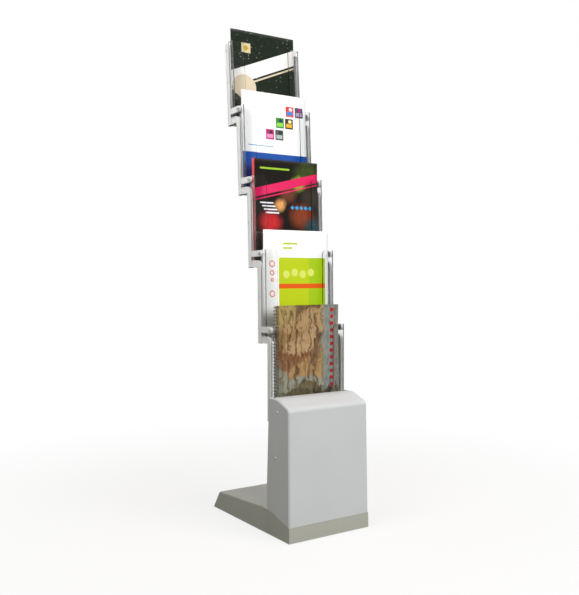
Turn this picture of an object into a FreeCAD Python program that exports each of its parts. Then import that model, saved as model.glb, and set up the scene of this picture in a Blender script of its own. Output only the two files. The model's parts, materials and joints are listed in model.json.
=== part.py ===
"""Floor-standing periodical rack with five clear pockets that pull up out of a low base.

Millimetres.  X is the width, +Y points to the rack's back, +Z is up.  The origin is the centre
of the footprint on the floor.  Each tier is drawn upright in its own frame, whose origin is the
middle of the rails' rear face at their lower end, and is then leaned back and set in its place.
Tier 1 is the lowest.
"""
import FreeCAD
import Part

import math
import os

V = FreeCAD.Vector

# ------------------------------------------------------------------ how shapes are cut and joined
OVERCUT = 1.0
OVERLAP = 0.1
SPARE = 5.0
ROOM_OVERRUN = 50.0
NEAR = 1.0
SAME_POINT = 1e-6

# ------------------------------------------------------------------ driving dimensions
# Periodicals: A4, upright
PAGE_WIDTH = 210.0
PAGE_HEIGHT = 297.0
PERIODICAL_THICKNESS = (6.0, 6.0, 9.0, 7.0, 6.0)
PERIODICAL_SHORTFALL = (0.0, 0.0, 5.0, 9.0, 24.0)
SPINE_CHAMFER = 1.2

# Column of tiers
TIERS = 5
STEP_UP = 201.0
STEP_BACK = 46.0
LEAN_STEP = 1.0
FIRST_TIER_BACK = 114.0
FIRST_TIER_UP = 295.0

# Pocket, bent from clear sheet
POCKET_SHEET = 3.0
SIDE_PLAY = 3.0
POCKET_DEPTH = 28.0
POCKET_HEIGHT = 247.0
TOP_POCKET_DROP = 10.0
POCKET_SETBACK = 1.0
BEND_RADIUS = 3.0
FRONT_STRIP = 37.0
FRONT_BAND = 60.0
WINDOW_RADIUS = 25.0
STRIP_TOP_RADIUS = 12.0
PAPER_CLEARANCE = 0.3

# Side rails: extruded section with a T-shaped slot in the front face
RAIL_THICK = 8.0
RAIL_DEPTH = 15.0
ARM_HEIGHT = 18.0
BEND_OUTER = 20.0
TOP_RAIL_LENGTH = 229.0
TOP_RAIL_RADIUS = 4.0
RIM_WIDTH = 2.4
RIM_DEPTH = 0.8
SLOT_MOUTH = 3.2
SLOT_LIP = 2.4
SLOT_HEAD = 5.2
SLOT_HEAD_DEPTH = 3.4
PLUG_HEIGHT = 1.5
PLUG_SPIGOT = 3.0

# Guide arms above the bends
GUIDE_UP = 237.0
GUIDE_HEIGHT = 16.0
GUIDE_REACH = 9.0
ARM_GAP = 0.7

# Nylon slide shoes
SHOE_CLEARANCE = 0.3
SHOE_SEAT = 6.0
LOWER_SHOE_HEIGHT = 11.0
UPPER_SHOE_HEIGHT = 10.0

# Cross tubes and fasteners
TUBE_RADIUS = 4.5
TUBE_WALL = 1.2
TUBE_BACK = 6.0
TUBE_SEAT = 4.0
RIVET_UP = 122.0
TOP_RIVET_DROP = 17.0
RIVET_RADIUS = 1.5
RIVET_HEAD_RADIUS = 2.9
RIVET_HEAD_HEIGHT = 1.2
RIVET_BACK = 5.4
KNOB_RADIUS = 4.6
KNOB_HEIGHT = 2.4
KNOB_WASHER_RADIUS = 6.2
KNOB_WASHER_HEIGHT = 0.8
KNOB_SHANK_RADIUS = 2.5
INSERT_RADIUS = 4.2
INSERT_LENGTH = 2.6
HEAD_SIDES = 12
RIVET_SIDES = 8
HIDDEN_SIDES = 6

# Wire binding of the lowest periodical
BOUND_EDGE_INSET = 2.5
BOUND_WIDTH = 202.5
RING_COUNT = 34
RING_ROOM = 4.0
RING_PROUD = 5.0
RING_WIRE = 1.0
RING_SIDES = 8
PUNCH_WIDTH = 2.4
PUNCH_LENGTH = 4.0

# Moulded base
BASE_LENGTH = 400.0
SHELL_WALL = 3.0
RIM_CLEAR = 1.5
SEAM_UP = 40.0
SEAM_INSET = 5.0
HOOD_BACK_LOW = 106.0
SEAM_BACK_UP = 67.0
FOOT_BACK_UP = 51.0
FOOT_TOP_LENGTH = 372.0
FOOT_TOP_RADIUS = 14.0
FOOT_FRONT_LEAN = 0.6
FOOT_SIDE_DRAFT = 6.0
FOOT_BLEND = 34.0
FOOT_EDGE_RADIUS = 4.0

# Moulded hood
HOOD_TOP = 359.0
HOOD_TOP_FRONT = 338.0
HOOD_FRONT_LEAN = 4.2
HOOD_FRONT_RADIUS = 14.0
HOOD_CREST = 58.0
HOOD_CREST_RADIUS = 70.0
HOOD_BACK_TOP = 97.5
HOOD_FLARE_UP = 135.0
HOOD_TOP_DRAFT = 2.1
HOOD_SEAM_STEP = 0.3
HOOD_ROOM = 0.2
HOOD_MOUTH = 82.0
HOOD_EDGE = 3.5
GROOVE_HEIGHT = 1.0
GROOVE_DEPTH = 1.2
MOUTH_CLEAR = 0.6

# Brackets that carry the column inside the hood
BRACKET_THICK = 2.0
BRACKET_FRONT = 50.0
BRACKET_LOW = 192.0
BRACKET_RADIUS = 6.0
BRACKET_BOSS = 11.0
BRACKET_BOSS_HEIGHT = 5.0
BRACKET_SCREWS = ((58.0, 324.0), (66.0, 205.0))
SCREW_RADIUS = 2.0
SCREW_HEAD_RADIUS = 4.0
SCREW_HEAD_HEIGHT = 1.8
SCREW_SUNK = 1.0
SCREW_END_COVER = 1.0
PAD_SIZE = 16.0
SEAM_CLIPS = (40.0, 85.0)
CLIP_LENGTH = 6.0
CLIP_HEIGHT = 4.0
CLIP_SUNK = 0.6

# Ballast plate, its screws and the rubber feet
FEET_HEIGHT = 3.0
FEET_SIZE = 22.0
FEET_INSET = 24.0
PLATE_THICK = 5.0
PLATE_CLEAR = 2.0
PLATE_RADIUS = 10.0
PLATE_SCREW_INSET = 22.0
PLATE_SCREW_ROWS = (58.0, 200.0, 330.0)
PLATE_SCREW_LENGTH = 16.0
PLATE_SCREW_HEAD = 1.4
PLATE_BOSS = 10.0

# ------------------------------------------------------------------ derived places
FRONT = -BASE_LENGTH / 2
POCKET_HALF = PAGE_WIDTH / 2 + SIDE_PLAY + POCKET_SHEET
RAIL_INNER = POCKET_HALF
RAIL_OUTER = RAIL_INNER + RAIL_THICK
RAIL_MIDDLE = RAIL_INNER + RAIL_THICK / 2
ARM_TOP = STEP_UP + ARM_HEIGHT
ARM_END = STEP_BACK - RAIL_DEPTH - ARM_GAP
POCKET_BACK = -POCKET_SETBACK
POCKET_FRONT = POCKET_BACK - POCKET_DEPTH
PLATE_FACE = RAIL_OUTER + MOUTH_CLEAR
PLATE_BACK = PLATE_FACE + BRACKET_THICK
HOOD_HALF_TOP = PLATE_BACK + HOOD_ROOM + SHELL_WALL
HOOD_HALF_LOW = HOOD_HALF_TOP + HOOD_TOP_DRAFT
BASE_HALF = HOOD_HALF_LOW + HOOD_SEAM_STEP
HOOD_CREST_END = FRONT + HOOD_BACK_TOP - NEAR
SIDES = (("left", -1), ("right", 1))


# ------------------------------------------------------------------ drawing helpers
def outline(corners, place):
    """Closed wire through corners (u, v, radius); place(u, v) gives the 3-D point."""
    edges = []
    spans = []
    count = len(corners)
    for index in range(count):
        u, v, radius = corners[index]
        here = V(u, v, 0)
        before = V(corners[index - 1][0], corners[index - 1][1], 0) - here
        after = V(corners[(index + 1) % count][0], corners[(index + 1) % count][1], 0) - here
        before.normalize()
        after.normalize()
        if radius == 0:
            spans.append((here, None, here))
            continue
        half_angle = before.getAngle(after) / 2
        inward = before + after
        inward.normalize()
        centre = here + inward * (radius / math.sin(half_angle))
        reach = radius / math.tan(half_angle)
        spans.append((here + before * reach, centre - inward * radius, here + after * reach))
    for index in range(count):
        start, middle, end = spans[index]
        if middle is not None:
            edges.append(Part.Arc(place(start.x, start.y), place(middle.x, middle.y),
                                  place(end.x, end.y)).toShape())
        following = spans[(index + 1) % count][0]
        if (following - end).Length > SAME_POINT:
            edges.append(Part.LineSegment(place(end.x, end.y),
                                          place(following.x, following.y)).toShape())
    return Part.Wire(edges)


def side_prism(corners, x_low, x_high):
    """Profile in the (y, z) plane carried from x_low to x_high."""
    wire = outline(corners, lambda u, v: V(x_low, u, v))
    return Part.Face(wire).extrude(V(x_high - x_low, 0, 0))


def plan_prism(corners, z_low, z_high):
    """Profile in the (x, y) plane carried from z_low to z_high."""
    wire = outline(corners, lambda u, v: V(u, v, z_low))
    return Part.Face(wire).extrude(V(0, 0, z_high - z_low))


def front_prism(corners, y_low, y_high):
    """Profile in the (x, z) plane carried from y_low to y_high."""
    wire = outline(corners, lambda u, v: V(u, y_low, v))
    return Part.Face(wire).extrude(V(0, y_high - y_low, 0))


def block(x_range, y_range, z_range):
    """Box between two corners, given as a range on each axis."""
    size = [high - low for low, high in (x_range, y_range, z_range)]
    return Part.makeBox(*size, V(x_range[0], y_range[0], z_range[0]))


def polygon(middle_u, middle_v, radius, sides):
    """Corners of a regular polygon whose flats lie on a circle of that radius."""
    reach = radius / math.cos(math.pi / sides)
    turns = [2 * math.pi * (index + 0.5) / sides for index in range(sides)]
    return [(middle_u + reach * math.cos(turn), middle_v + reach * math.sin(turn), 0)
            for turn in turns]


def flat_pin(side, radius, sides, x_range, y, z):
    """Many-sided pin along X on one side, for small heads and for shanks that stay hidden."""
    return side_prism(polygon(y, z, radius, sides), *slab(side, x_range))


def slab(side, x_range):
    """The same range of distances from the middle, ordered along X for one side."""
    return tuple(sorted((side * x_range[0], side * x_range[1])))


def fused(shapes):
    """One solid from shapes that touch."""
    return shapes[0].multiFuse(shapes[1:]).removeSplitter()


def drafted(half_low, low, half_high, high, y_range):
    """Body whose two sides lean in from half_low at the height low to half_high at high."""
    corners = [(-half_low, low, 0), (half_low, low, 0), (half_high, high, 0),
               (-half_high, high, 0)]
    return front_prism(corners, *y_range)


# ------------------------------------------------------------------ where the tiers stand
def tier_places():
    """Placement of every tier: each stands on the bend of the one below, leaned a step more."""
    places = []
    origin = V(0, FRONT + FIRST_TIER_BACK, FIRST_TIER_UP)
    for tier in range(TIERS):
        turn = FreeCAD.Rotation(V(1, 0, 0), -tier * LEAN_STEP)
        places.append(FreeCAD.Placement(origin, turn))
        origin = origin + turn.multVec(V(0, STEP_BACK, STEP_UP))
    return places


PLACES = tier_places()


def placed(shape, tier):
    """Copy of a shape drawn in a tier's own frame, set in its place."""
    copy = shape.copy()
    copy.Placement = PLACES[tier].multiply(copy.Placement)
    return copy


def next_in_own_frame(shape, tier):
    """Copy of a shape drawn in the frame of the tier above, as seen in this tier's frame."""
    copy = shape.copy()
    step = PLACES[tier].inverse().multiply(PLACES[tier + 1])
    copy.Placement = step.multiply(copy.Placement)
    return copy


# ------------------------------------------------------------------ slide shoes
def shoe(side, centre_up, height):
    """T-shaped nylon shoe, drawn in the frame of the rail whose slot it runs in."""
    low = centre_up - height / 2
    high = centre_up + height / 2
    mouth = SLOT_MOUTH / 2 - SHOE_CLEARANCE
    head = SLOT_HEAD / 2 - SHOE_CLEARANCE
    head_front = -RAIL_DEPTH + SLOT_LIP + SHOE_CLEARANCE
    head_back = -RAIL_DEPTH + SLOT_LIP + SLOT_HEAD_DEPTH - SHOE_CLEARANCE
    stem_front = -RAIL_DEPTH - ARM_GAP - SHOE_SEAT
    middle = side * RAIL_MIDDLE
    stem = block((middle - mouth, middle + mouth), (stem_front, head_front), (low, high))
    cross = block((middle - head, middle + head), (head_front, head_back), (low, high))
    return fused([stem, cross])


def shoe_pair(side):
    """Lower and upper shoe of one side, in the frame of the rail that they guide."""
    lower = shoe(side, ARM_HEIGHT / 2, LOWER_SHOE_HEIGHT)
    upper = shoe(side, GUIDE_UP - STEP_UP, UPPER_SHOE_HEIGHT)
    return lower, upper


# ------------------------------------------------------------------ side rails
def rail_corners(inset, top_tier):
    """Side view of a rail: a straight post, and on all but the top tier a bend to the rear."""
    front = -RAIL_DEPTH + inset
    back = -inset
    if top_tier:
        radius = TOP_RAIL_RADIUS - inset / 2
        return [(front, inset, 0), (back, inset, 0), (back, TOP_RAIL_LENGTH - inset, radius),
                (front, TOP_RAIL_LENGTH - inset, radius)]
    return [(front, inset, 0), (back, inset, 0), (back, STEP_UP + inset, 0),
            (ARM_END - inset, STEP_UP + inset, 0), (ARM_END - inset, ARM_TOP - inset, 0),
            (front, ARM_TOP - inset, BEND_OUTER - inset)]


def slot_cut(side, top):
    """Room of the T-shaped slot, open at the rail's lower end and past its top."""
    middle = side * RAIL_MIDDLE
    lip = -RAIL_DEPTH + SLOT_LIP
    mouth = block((middle - SLOT_MOUTH / 2, middle + SLOT_MOUTH / 2),
                  (-RAIL_DEPTH - OVERCUT, lip + OVERLAP), (-OVERCUT, top + OVERCUT))
    head = block((middle - SLOT_HEAD / 2, middle + SLOT_HEAD / 2),
                 (lip, lip + SLOT_HEAD_DEPTH), (-OVERCUT, top + OVERCUT))
    return fused([mouth, head])


def tube_spigot(side):
    """End of the cross tube's core, which sits in a blind seat in the rail's bend."""
    return flat_pin(side, TUBE_RADIUS - TUBE_WALL, HIDDEN_SIDES,
                    (RAIL_INNER - OVERLAP, RAIL_INNER + TUBE_SEAT), TUBE_BACK,
                    STEP_UP + ARM_HEIGHT / 2)


def side_rail(side, tier):
    """One rail with its bend, the slot, the shallow panel in its outer face and its seats."""
    top_tier = tier == TIERS - 1
    x_range = slab(side, (RAIL_INNER, RAIL_OUTER))
    rail = side_prism(rail_corners(0, top_tier), *x_range)
    panel_range = slab(side, (RAIL_OUTER - RIM_DEPTH, RAIL_OUTER + OVERCUT))
    panel = side_prism(rail_corners(RIM_WIDTH, top_tier), *panel_range)
    cuts = [panel, slot_cut(side, TOP_RAIL_LENGTH), rivet_shank(side, RIVET_UP)]
    if top_tier:
        cuts.append(rivet_shank(side, TOP_RAIL_LENGTH - TOP_RIVET_DROP))
    else:
        cuts.append(tube_spigot(side))
        cuts.append(next_in_own_frame(shoe_pair(side)[0], tier))
    return rail.cut(cuts)


def rail_plugs():
    """End plugs that close both rails' lower ends and stop the shoes."""
    plugs = []
    for _, side in SIDES:
        cap = block(slab(side, (RAIL_INNER, RAIL_OUTER)), (-RAIL_DEPTH, 0), (-PLUG_HEIGHT, 0))
        middle = side * RAIL_MIDDLE
        lip = -RAIL_DEPTH + SLOT_LIP
        spigot = block((middle - SLOT_HEAD / 2, middle + SLOT_HEAD / 2),
                       (lip, lip + SLOT_HEAD_DEPTH), (-PLUG_HEIGHT, PLUG_SPIGOT))
        plugs.append(fused([cap, spigot]))
    return plugs


# ------------------------------------------------------------------ guide arms
def guide_arm(side, tier):
    """Short arm above the bend, round at the front, that holds the upper shoe at its rear end."""
    low = GUIDE_UP - GUIDE_HEIGHT / 2
    high = GUIDE_UP + GUIDE_HEIGHT / 2
    radius = GUIDE_HEIGHT / 2
    front = -GUIDE_REACH - radius
    corners = [(ARM_END, low, 0), (ARM_END, high, 0), (front, high, radius),
               (front, low, radius)]
    arm = side_prism(corners, *slab(side, (RAIL_INNER, RAIL_OUTER)))
    return arm.cut([next_in_own_frame(shoe_pair(side)[1], tier), knob_shank(side)])


def knob_shank(side):
    """Shank of a guide knob, through the arm."""
    return flat_pin(side, KNOB_SHANK_RADIUS, HIDDEN_SIDES,
                    (POCKET_HALF - OVERLAP, RAIL_OUTER + OVERLAP), -GUIDE_REACH, GUIDE_UP)


def knob_insert(side):
    """Threaded end of a guide knob, set flush in the pocket's side."""
    return flat_pin(side, INSERT_RADIUS, HIDDEN_SIDES, (POCKET_HALF - INSERT_LENGTH, POCKET_HALF),
                    -GUIDE_REACH, GUIDE_UP)


def guide_knob(side):
    """Screw that clamps a guide arm to the pocket: washer, head, shank and insert."""
    rise = RAIL_OUTER + KNOB_WASHER_HEIGHT
    washer = flat_pin(side, KNOB_WASHER_RADIUS, HEAD_SIDES, (RAIL_OUTER, rise),
                      -GUIDE_REACH, GUIDE_UP)
    head = flat_pin(side, KNOB_RADIUS, HEAD_SIDES, (rise, RAIL_OUTER + KNOB_HEIGHT),
                    -GUIDE_REACH, GUIDE_UP)
    return fused([washer, head, knob_shank(side), knob_insert(side)])


# ------------------------------------------------------------------ rivets
def rivet_shank(side, up):
    """Shank that passes through the rail's web and the pocket's side."""
    return flat_pin(side, RIVET_RADIUS, HIDDEN_SIDES, (POCKET_HALF - POCKET_SHEET, RAIL_OUTER),
                    -RIVET_BACK, up)


def rivet(side, up):
    """Rivet with its round head in the rail's outer panel."""
    floor = RAIL_OUTER - RIM_DEPTH
    head = flat_pin(side, RIVET_HEAD_RADIUS, RIVET_SIDES, (floor, floor + RIVET_HEAD_HEIGHT),
                    -RIVET_BACK, up)
    return fused([head, rivet_shank(side, up)])


def tier_fasteners(tier):
    """All rivets and knobs of one tier."""
    pieces = []
    for _, side in SIDES:
        pieces.append(rivet(side, RIVET_UP))
        if tier == TIERS - 1:
            pieces.append(rivet(side, TOP_RAIL_LENGTH - TOP_RIVET_DROP))
        else:
            pieces.append(guide_knob(side))
    return pieces


# ------------------------------------------------------------------ cross tube
def cross_tube():
    """Tube behind the pocket that ties both bends together, closed by a plug at each end."""
    start = V(-RAIL_INNER, TUBE_BACK, STEP_UP + ARM_HEIGHT / 2)
    tube = Part.makeCylinder(TUBE_RADIUS, 2 * RAIL_INNER, start, V(1, 0, 0))
    return fused([tube] + [tube_spigot(side) for _, side in SIDES])


# ------------------------------------------------------------------ pocket
def pocket_plan(inset):
    """Plan of the pocket's outer face, or of its room when inset by the sheet."""
    half = POCKET_HALF - inset
    front = POCKET_FRONT + inset
    back = POCKET_BACK - inset
    radius = BEND_RADIUS - inset
    return [(-half, front, radius), (half, front, radius), (half, back, radius),
            (-half, back, radius)]


def pocket(tier):
    """Open-topped clear box whose front is cut down to two strips and a low band."""
    high_edge = POCKET_HEIGHT - (TOP_POCKET_DROP if tier == TIERS - 1 else 0.0)
    body = plan_prism(pocket_plan(0), 0, high_edge)
    room = plan_prism(pocket_plan(POCKET_SHEET), POCKET_SHEET, high_edge + OVERCUT)
    strip = POCKET_HALF - FRONT_STRIP
    low = POCKET_FRONT - OVERCUT
    high = POCKET_FRONT + POCKET_SHEET + OVERCUT
    kept = front_prism([(-POCKET_HALF, 0, 0), (POCKET_HALF, 0, 0),
                        (POCKET_HALF, high_edge, 0),
                        (strip, high_edge, STRIP_TOP_RADIUS),
                        (strip, FRONT_BAND, WINDOW_RADIUS),
                        (-strip, FRONT_BAND, WINDOW_RADIUS),
                        (-strip, high_edge, STRIP_TOP_RADIUS),
                        (-POCKET_HALF, high_edge, 0)], low, high)
    window = block((-POCKET_HALF, POCKET_HALF), (low, high), (0, high_edge)).cut(kept)
    cuts = [room, window]
    for _, side in SIDES:
        cuts.append(rivet_shank(side, RIVET_UP))
        if tier == TIERS - 1:
            cuts.append(rivet_shank(side, TOP_RAIL_LENGTH - TOP_RIVET_DROP))
        else:
            cuts.append(knob_insert(side))
    return body.cut(cuts)


# ------------------------------------------------------------------ periodicals
def periodical_rear(tier):
    """Rear face of a periodical in its tier's frame; the wire rings hold the lowest one off."""
    rear = POCKET_BACK - POCKET_SHEET - PAPER_CLEARANCE
    return rear - RING_ROOM if tier == 0 else rear


def periodical_foot():
    """Lower edge of a periodical in its tier's frame."""
    return POCKET_SHEET + PAPER_CLEARANCE


def periodical_sides(tier):
    """Left and right edge of a periodical; the lowest one is narrower, to leave room for rings."""
    if tier > 0:
        return -PAGE_WIDTH / 2, PAGE_WIDTH / 2
    left = -PAGE_WIDTH / 2 + BOUND_EDGE_INSET
    return left, left + BOUND_WIDTH


def ring_heights():
    """Centres of the wire rings up the spine."""
    pitch = PAGE_HEIGHT / RING_COUNT
    return [periodical_foot() + pitch * (index + 0.5) for index in range(RING_COUNT)]


def periodical(tier):
    """Closed periodical with a broken-edged spine on the left; the lowest one is punched."""
    rear = periodical_rear(tier)
    front = rear - PERIODICAL_THICKNESS[tier]
    left, right = periodical_sides(tier)
    corners = [(left, front + SPINE_CHAMFER, 0), (left + SPINE_CHAMFER, front, 0),
               (right, front, 0), (right, rear, 0), (left + SPINE_CHAMFER, rear, 0),
               (left, rear - SPINE_CHAMFER, 0)]
    head = periodical_foot() + PAGE_HEIGHT - PERIODICAL_SHORTFALL[tier]
    body = plan_prism(corners, periodical_foot(), head)
    if tier > 0:
        return body
    holes = []
    hole_high = ring_centre().x + ring_radius() + PAPER_CLEARANCE
    hole_low = hole_high - PUNCH_LENGTH
    for up in ring_heights():
        holes.append(block((hole_low, hole_high), (front - OVERCUT, rear + OVERCUT),
                           (up - PUNCH_WIDTH / 2, up + PUNCH_WIDTH / 2)))
    return body.cut(holes)


def ring_radius():
    """Outer radius of the wire rings, clear of both covers."""
    return PERIODICAL_THICKNESS[0] / 2 + RING_ROOM


def ring_centre():
    """Middle of the wire rings in plan: they stand out past the bound edge."""
    return V(periodical_sides(0)[0] - RING_PROUD + ring_radius(),
             periodical_rear(0) - PERIODICAL_THICKNESS[0] / 2, 0)


def wire_rings():
    """Separate wire rings that pass through the punched holes and round the spine."""
    rings = []
    centre = ring_centre()
    for up in ring_heights():
        z_range = (up - RING_WIRE / 2, up + RING_WIRE / 2)
        outer = plan_prism(polygon(centre.x, centre.y, ring_radius(), RING_SIDES), *z_range)
        inner = plan_prism(polygon(centre.x, centre.y, ring_radius() - RING_WIRE, RING_SIDES),
                           *z_range)
        rings.append(outer.cut(inner))
    return rings


# ------------------------------------------------------------------ base shell
def seam_height(back):
    """Height of the seam between hood and foot at a distance behind the front."""
    share = (back - SEAM_INSET) / (HOOD_BACK_LOW - SEAM_INSET)
    return SEAM_UP + max(0.0, share) * (SEAM_BACK_UP - SEAM_UP)


def foot_solid(inset):
    """Drafted body of the foot; inset by the wall it is the room inside, open downwards."""
    low = RIM_CLEAR
    high = SEAM_BACK_UP + SPARE
    half_low = BASE_HALF - inset
    half_hood = HOOD_HALF_LOW - HOOD_SEAM_STEP - inset
    half_foot = BASE_HALF - FOOT_SIDE_DRAFT - inset
    front = FRONT + inset
    rear = FRONT + BASE_LENGTH - inset
    knee = FRONT + HOOD_BACK_LOW - inset
    blend = knee + FOOT_BLEND
    wide = drafted(half_low, low, half_hood, high, (front, blend))
    taper = [(-half_low, front, 0), (half_low, front, 0), (half_low, knee, 0),
             (half_foot, blend, 0), (-half_foot, blend, 0), (-half_low, knee, 0)]
    wide = wide.common(plan_prism(taper, low, high))
    narrow = drafted(half_low, low, half_foot, high, (front, rear))
    body = fused([wide, narrow])
    radius = FOOT_TOP_RADIUS - inset
    corners = [(front, low, 0), (front + FOOT_FRONT_LEAN, SEAM_UP - inset, 0),
               (FRONT + SEAM_INSET, SEAM_UP - inset, 0),
               (FRONT + HOOD_BACK_LOW, SEAM_BACK_UP - inset, 0),
               (FRONT + FOOT_TOP_LENGTH - inset, FOOT_BACK_UP - inset, radius),
               (rear, low, 0)]
    return body.common(side_prism(corners, -2 * BASE_HALF, 2 * BASE_HALF))


def plate_screw_places():
    """Centres of the ballast plate's screws."""
    across = BASE_HALF - PLATE_SCREW_INSET
    return [(x, FRONT + back) for back in PLATE_SCREW_ROWS for x in (-across, across)]


def foot_shell():
    """Moulded foot: thin shell with screw columns inside, open underneath."""
    outer = foot_solid(0)
    edges = []
    for edge in outer.Edges:
        centre = edge.CenterOfMass
        behind_hood = centre.y > FRONT + HOOD_BACK_LOW + NEAR
        if behind_hood and centre.z > FOOT_BACK_UP - FOOT_EDGE_RADIUS and abs(centre.x) > NEAR:
            edges.append(edge)
    outer = outer.makeFillet(FOOT_EDGE_RADIUS, edges)
    shell = outer.cut(foot_solid(SHELL_WALL))
    columns = []
    for x, y in plate_screw_places():
        half = PLATE_BOSS / 2
        column = block((x - half, x + half), (y - half, y + half),
                       (FEET_HEIGHT + PLATE_THICK, SEAM_BACK_UP))
        columns.append(column.common(outer))
    shell = fused([shell] + columns)
    return shell.cut([plate_screw(x, y) for x, y in plate_screw_places()])


# ------------------------------------------------------------------ hood
def hood_half_width(up):
    """Half width of the hood's drafted side at a height."""
    share = (up - SEAM_UP) / (HOOD_TOP - SEAM_UP)
    return HOOD_HALF_LOW - share * HOOD_TOP_DRAFT


def hood_solid(inset):
    """Drafted body of the hood; inset by the wall it is the room inside, open behind and below."""
    overrun = ROOM_OVERRUN if inset else 0.0
    low = SEAM_UP - overrun
    high = HOOD_TOP + SPARE
    y_range = (FRONT - SPARE, FRONT + HOOD_BACK_LOW + overrun + SPARE)
    body = drafted(hood_half_width(low) - inset, low, hood_half_width(high) - inset, high,
                   y_range)
    lean_foot = FRONT + FOOT_FRONT_LEAN + inset
    corners = [(lean_foot, SEAM_UP, 0),
               (lean_foot + HOOD_FRONT_LEAN, HOOD_TOP_FRONT - inset, HOOD_FRONT_RADIUS - inset),
               (FRONT + HOOD_CREST, HOOD_TOP - inset, HOOD_CREST_RADIUS - inset),
               (FRONT + HOOD_BACK_TOP + overrun, HOOD_TOP - inset, 0),
               (FRONT + HOOD_BACK_LOW + overrun, HOOD_FLARE_UP, 0),
               (FRONT + HOOD_BACK_LOW + overrun, seam_height(HOOD_BACK_LOW + overrun), 0)]
    if inset:
        corners += [(FRONT + HOOD_BACK_LOW + overrun, low, 0), (lean_foot, low, 0)]
    else:
        corners += [(FRONT + SEAM_INSET, SEAM_UP, 0)]
    return body.common(side_prism(corners, -2 * BASE_HALF, 2 * BASE_HALF))


def seam_groove():
    """Shallow groove round the hood's lower edge, along its seam with the foot."""
    front = FRONT - SPARE
    knee = FRONT + SEAM_INSET
    rear = FRONT + HOOD_BACK_LOW + SPARE
    high = seam_height(HOOD_BACK_LOW + SPARE)
    corners = [(front, SEAM_UP, 0), (knee, SEAM_UP, 0), (rear, high, 0),
               (rear, high + GROOVE_HEIGHT, 0), (knee, SEAM_UP + GROOVE_HEIGHT, 0),
               (front, SEAM_UP + GROOVE_HEIGHT, 0)]
    return side_prism(corners, -2 * BASE_HALF, 2 * BASE_HALF).cut(hood_solid(GROOVE_DEPTH))


def hood_shell():
    """Moulded hood: front, two sides and a crowned top, with pads inside for the brackets."""
    outer = hood_solid(0)
    crest = []
    for edge in outer.Edges:
        centre = edge.CenterOfMass
        at_side = abs(centre.x) > HOOD_HALF_TOP - NEAR
        if at_side and centre.z > HOOD_TOP_FRONT - HOOD_FRONT_RADIUS and centre.y < HOOD_CREST_END:
            crest.append(edge)
    outer = outer.makeChamfer(HOOD_EDGE, crest)
    upright = [edge for edge in outer.Edges
               if edge.BoundBox.ZLength > HOOD_FLARE_UP
               and edge.CenterOfMass.y < FRONT + SEAM_INSET]
    outer = outer.makeFillet(HOOD_EDGE, upright)
    shell = outer.cut(hood_solid(SHELL_WALL))
    mouth = block((-PLATE_FACE, PLATE_FACE), (FRONT + HOOD_MOUTH, FRONT + BASE_LENGTH),
                  (HOOD_FLARE_UP, HOOD_TOP + OVERCUT))
    pads = []
    for _, side in SIDES:
        for back, up in BRACKET_SCREWS:
            pads.append(square_pad(side, PAD_SIZE, (PLATE_BACK, BASE_HALF), back, up)
                        .common(outer))
    shell = fused([shell] + pads)
    return shell.cut([mouth, seam_groove()] + bracket_screws(SCREW_SUNK) + seam_clips())


def square_pad(side, size, x_range, back, up):
    """Square pad round a bracket screw."""
    half = size / 2
    return block(slab(side, x_range), (FRONT + back - half, FRONT + back + half),
                 (up - half, up + half))


def bracket_screw(side, back, up, extra):
    """Pan-head screw sunk in the hood's side; extra lengthens its head to cut the recess."""
    face = hood_half_width(up) - SCREW_SUNK
    head = flat_pin(side, SCREW_HEAD_RADIUS, HEAD_SIDES, (face, face + SCREW_HEAD_HEIGHT + extra),
                    FRONT + back, up)
    shank = flat_pin(side, SCREW_RADIUS, HIDDEN_SIDES,
                     (PLATE_FACE - BRACKET_BOSS_HEIGHT + SCREW_END_COVER, face + OVERLAP),
                     FRONT + back, up)
    return fused([head, shank])


def bracket_screws(extra=0.0):
    """The four screws that hold the brackets to the hood's sides."""
    return [bracket_screw(side, back, up, extra)
            for _, side in SIDES for back, up in BRACKET_SCREWS]


def seam_clips():
    """Dark spring clips that show in the seam on both sides."""
    clips = []
    for _, side in SIDES:
        for back in SEAM_CLIPS:
            low = FRONT + back - CLIP_LENGTH / 2
            high = low + CLIP_LENGTH
            foot_low = seam_height(back - CLIP_LENGTH / 2)
            foot_high = seam_height(back + CLIP_LENGTH / 2)
            corners = [(low, foot_low, 0), (high, foot_high, 0),
                       (high, foot_high + CLIP_HEIGHT, 0), (low, foot_low + CLIP_HEIGHT, 0)]
            face = hood_half_width(SEAM_BACK_UP) - CLIP_SUNK
            x_range = slab(side, (face - SHELL_WALL, face))
            clips.append(side_prism(corners, *x_range))
    return clips


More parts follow.
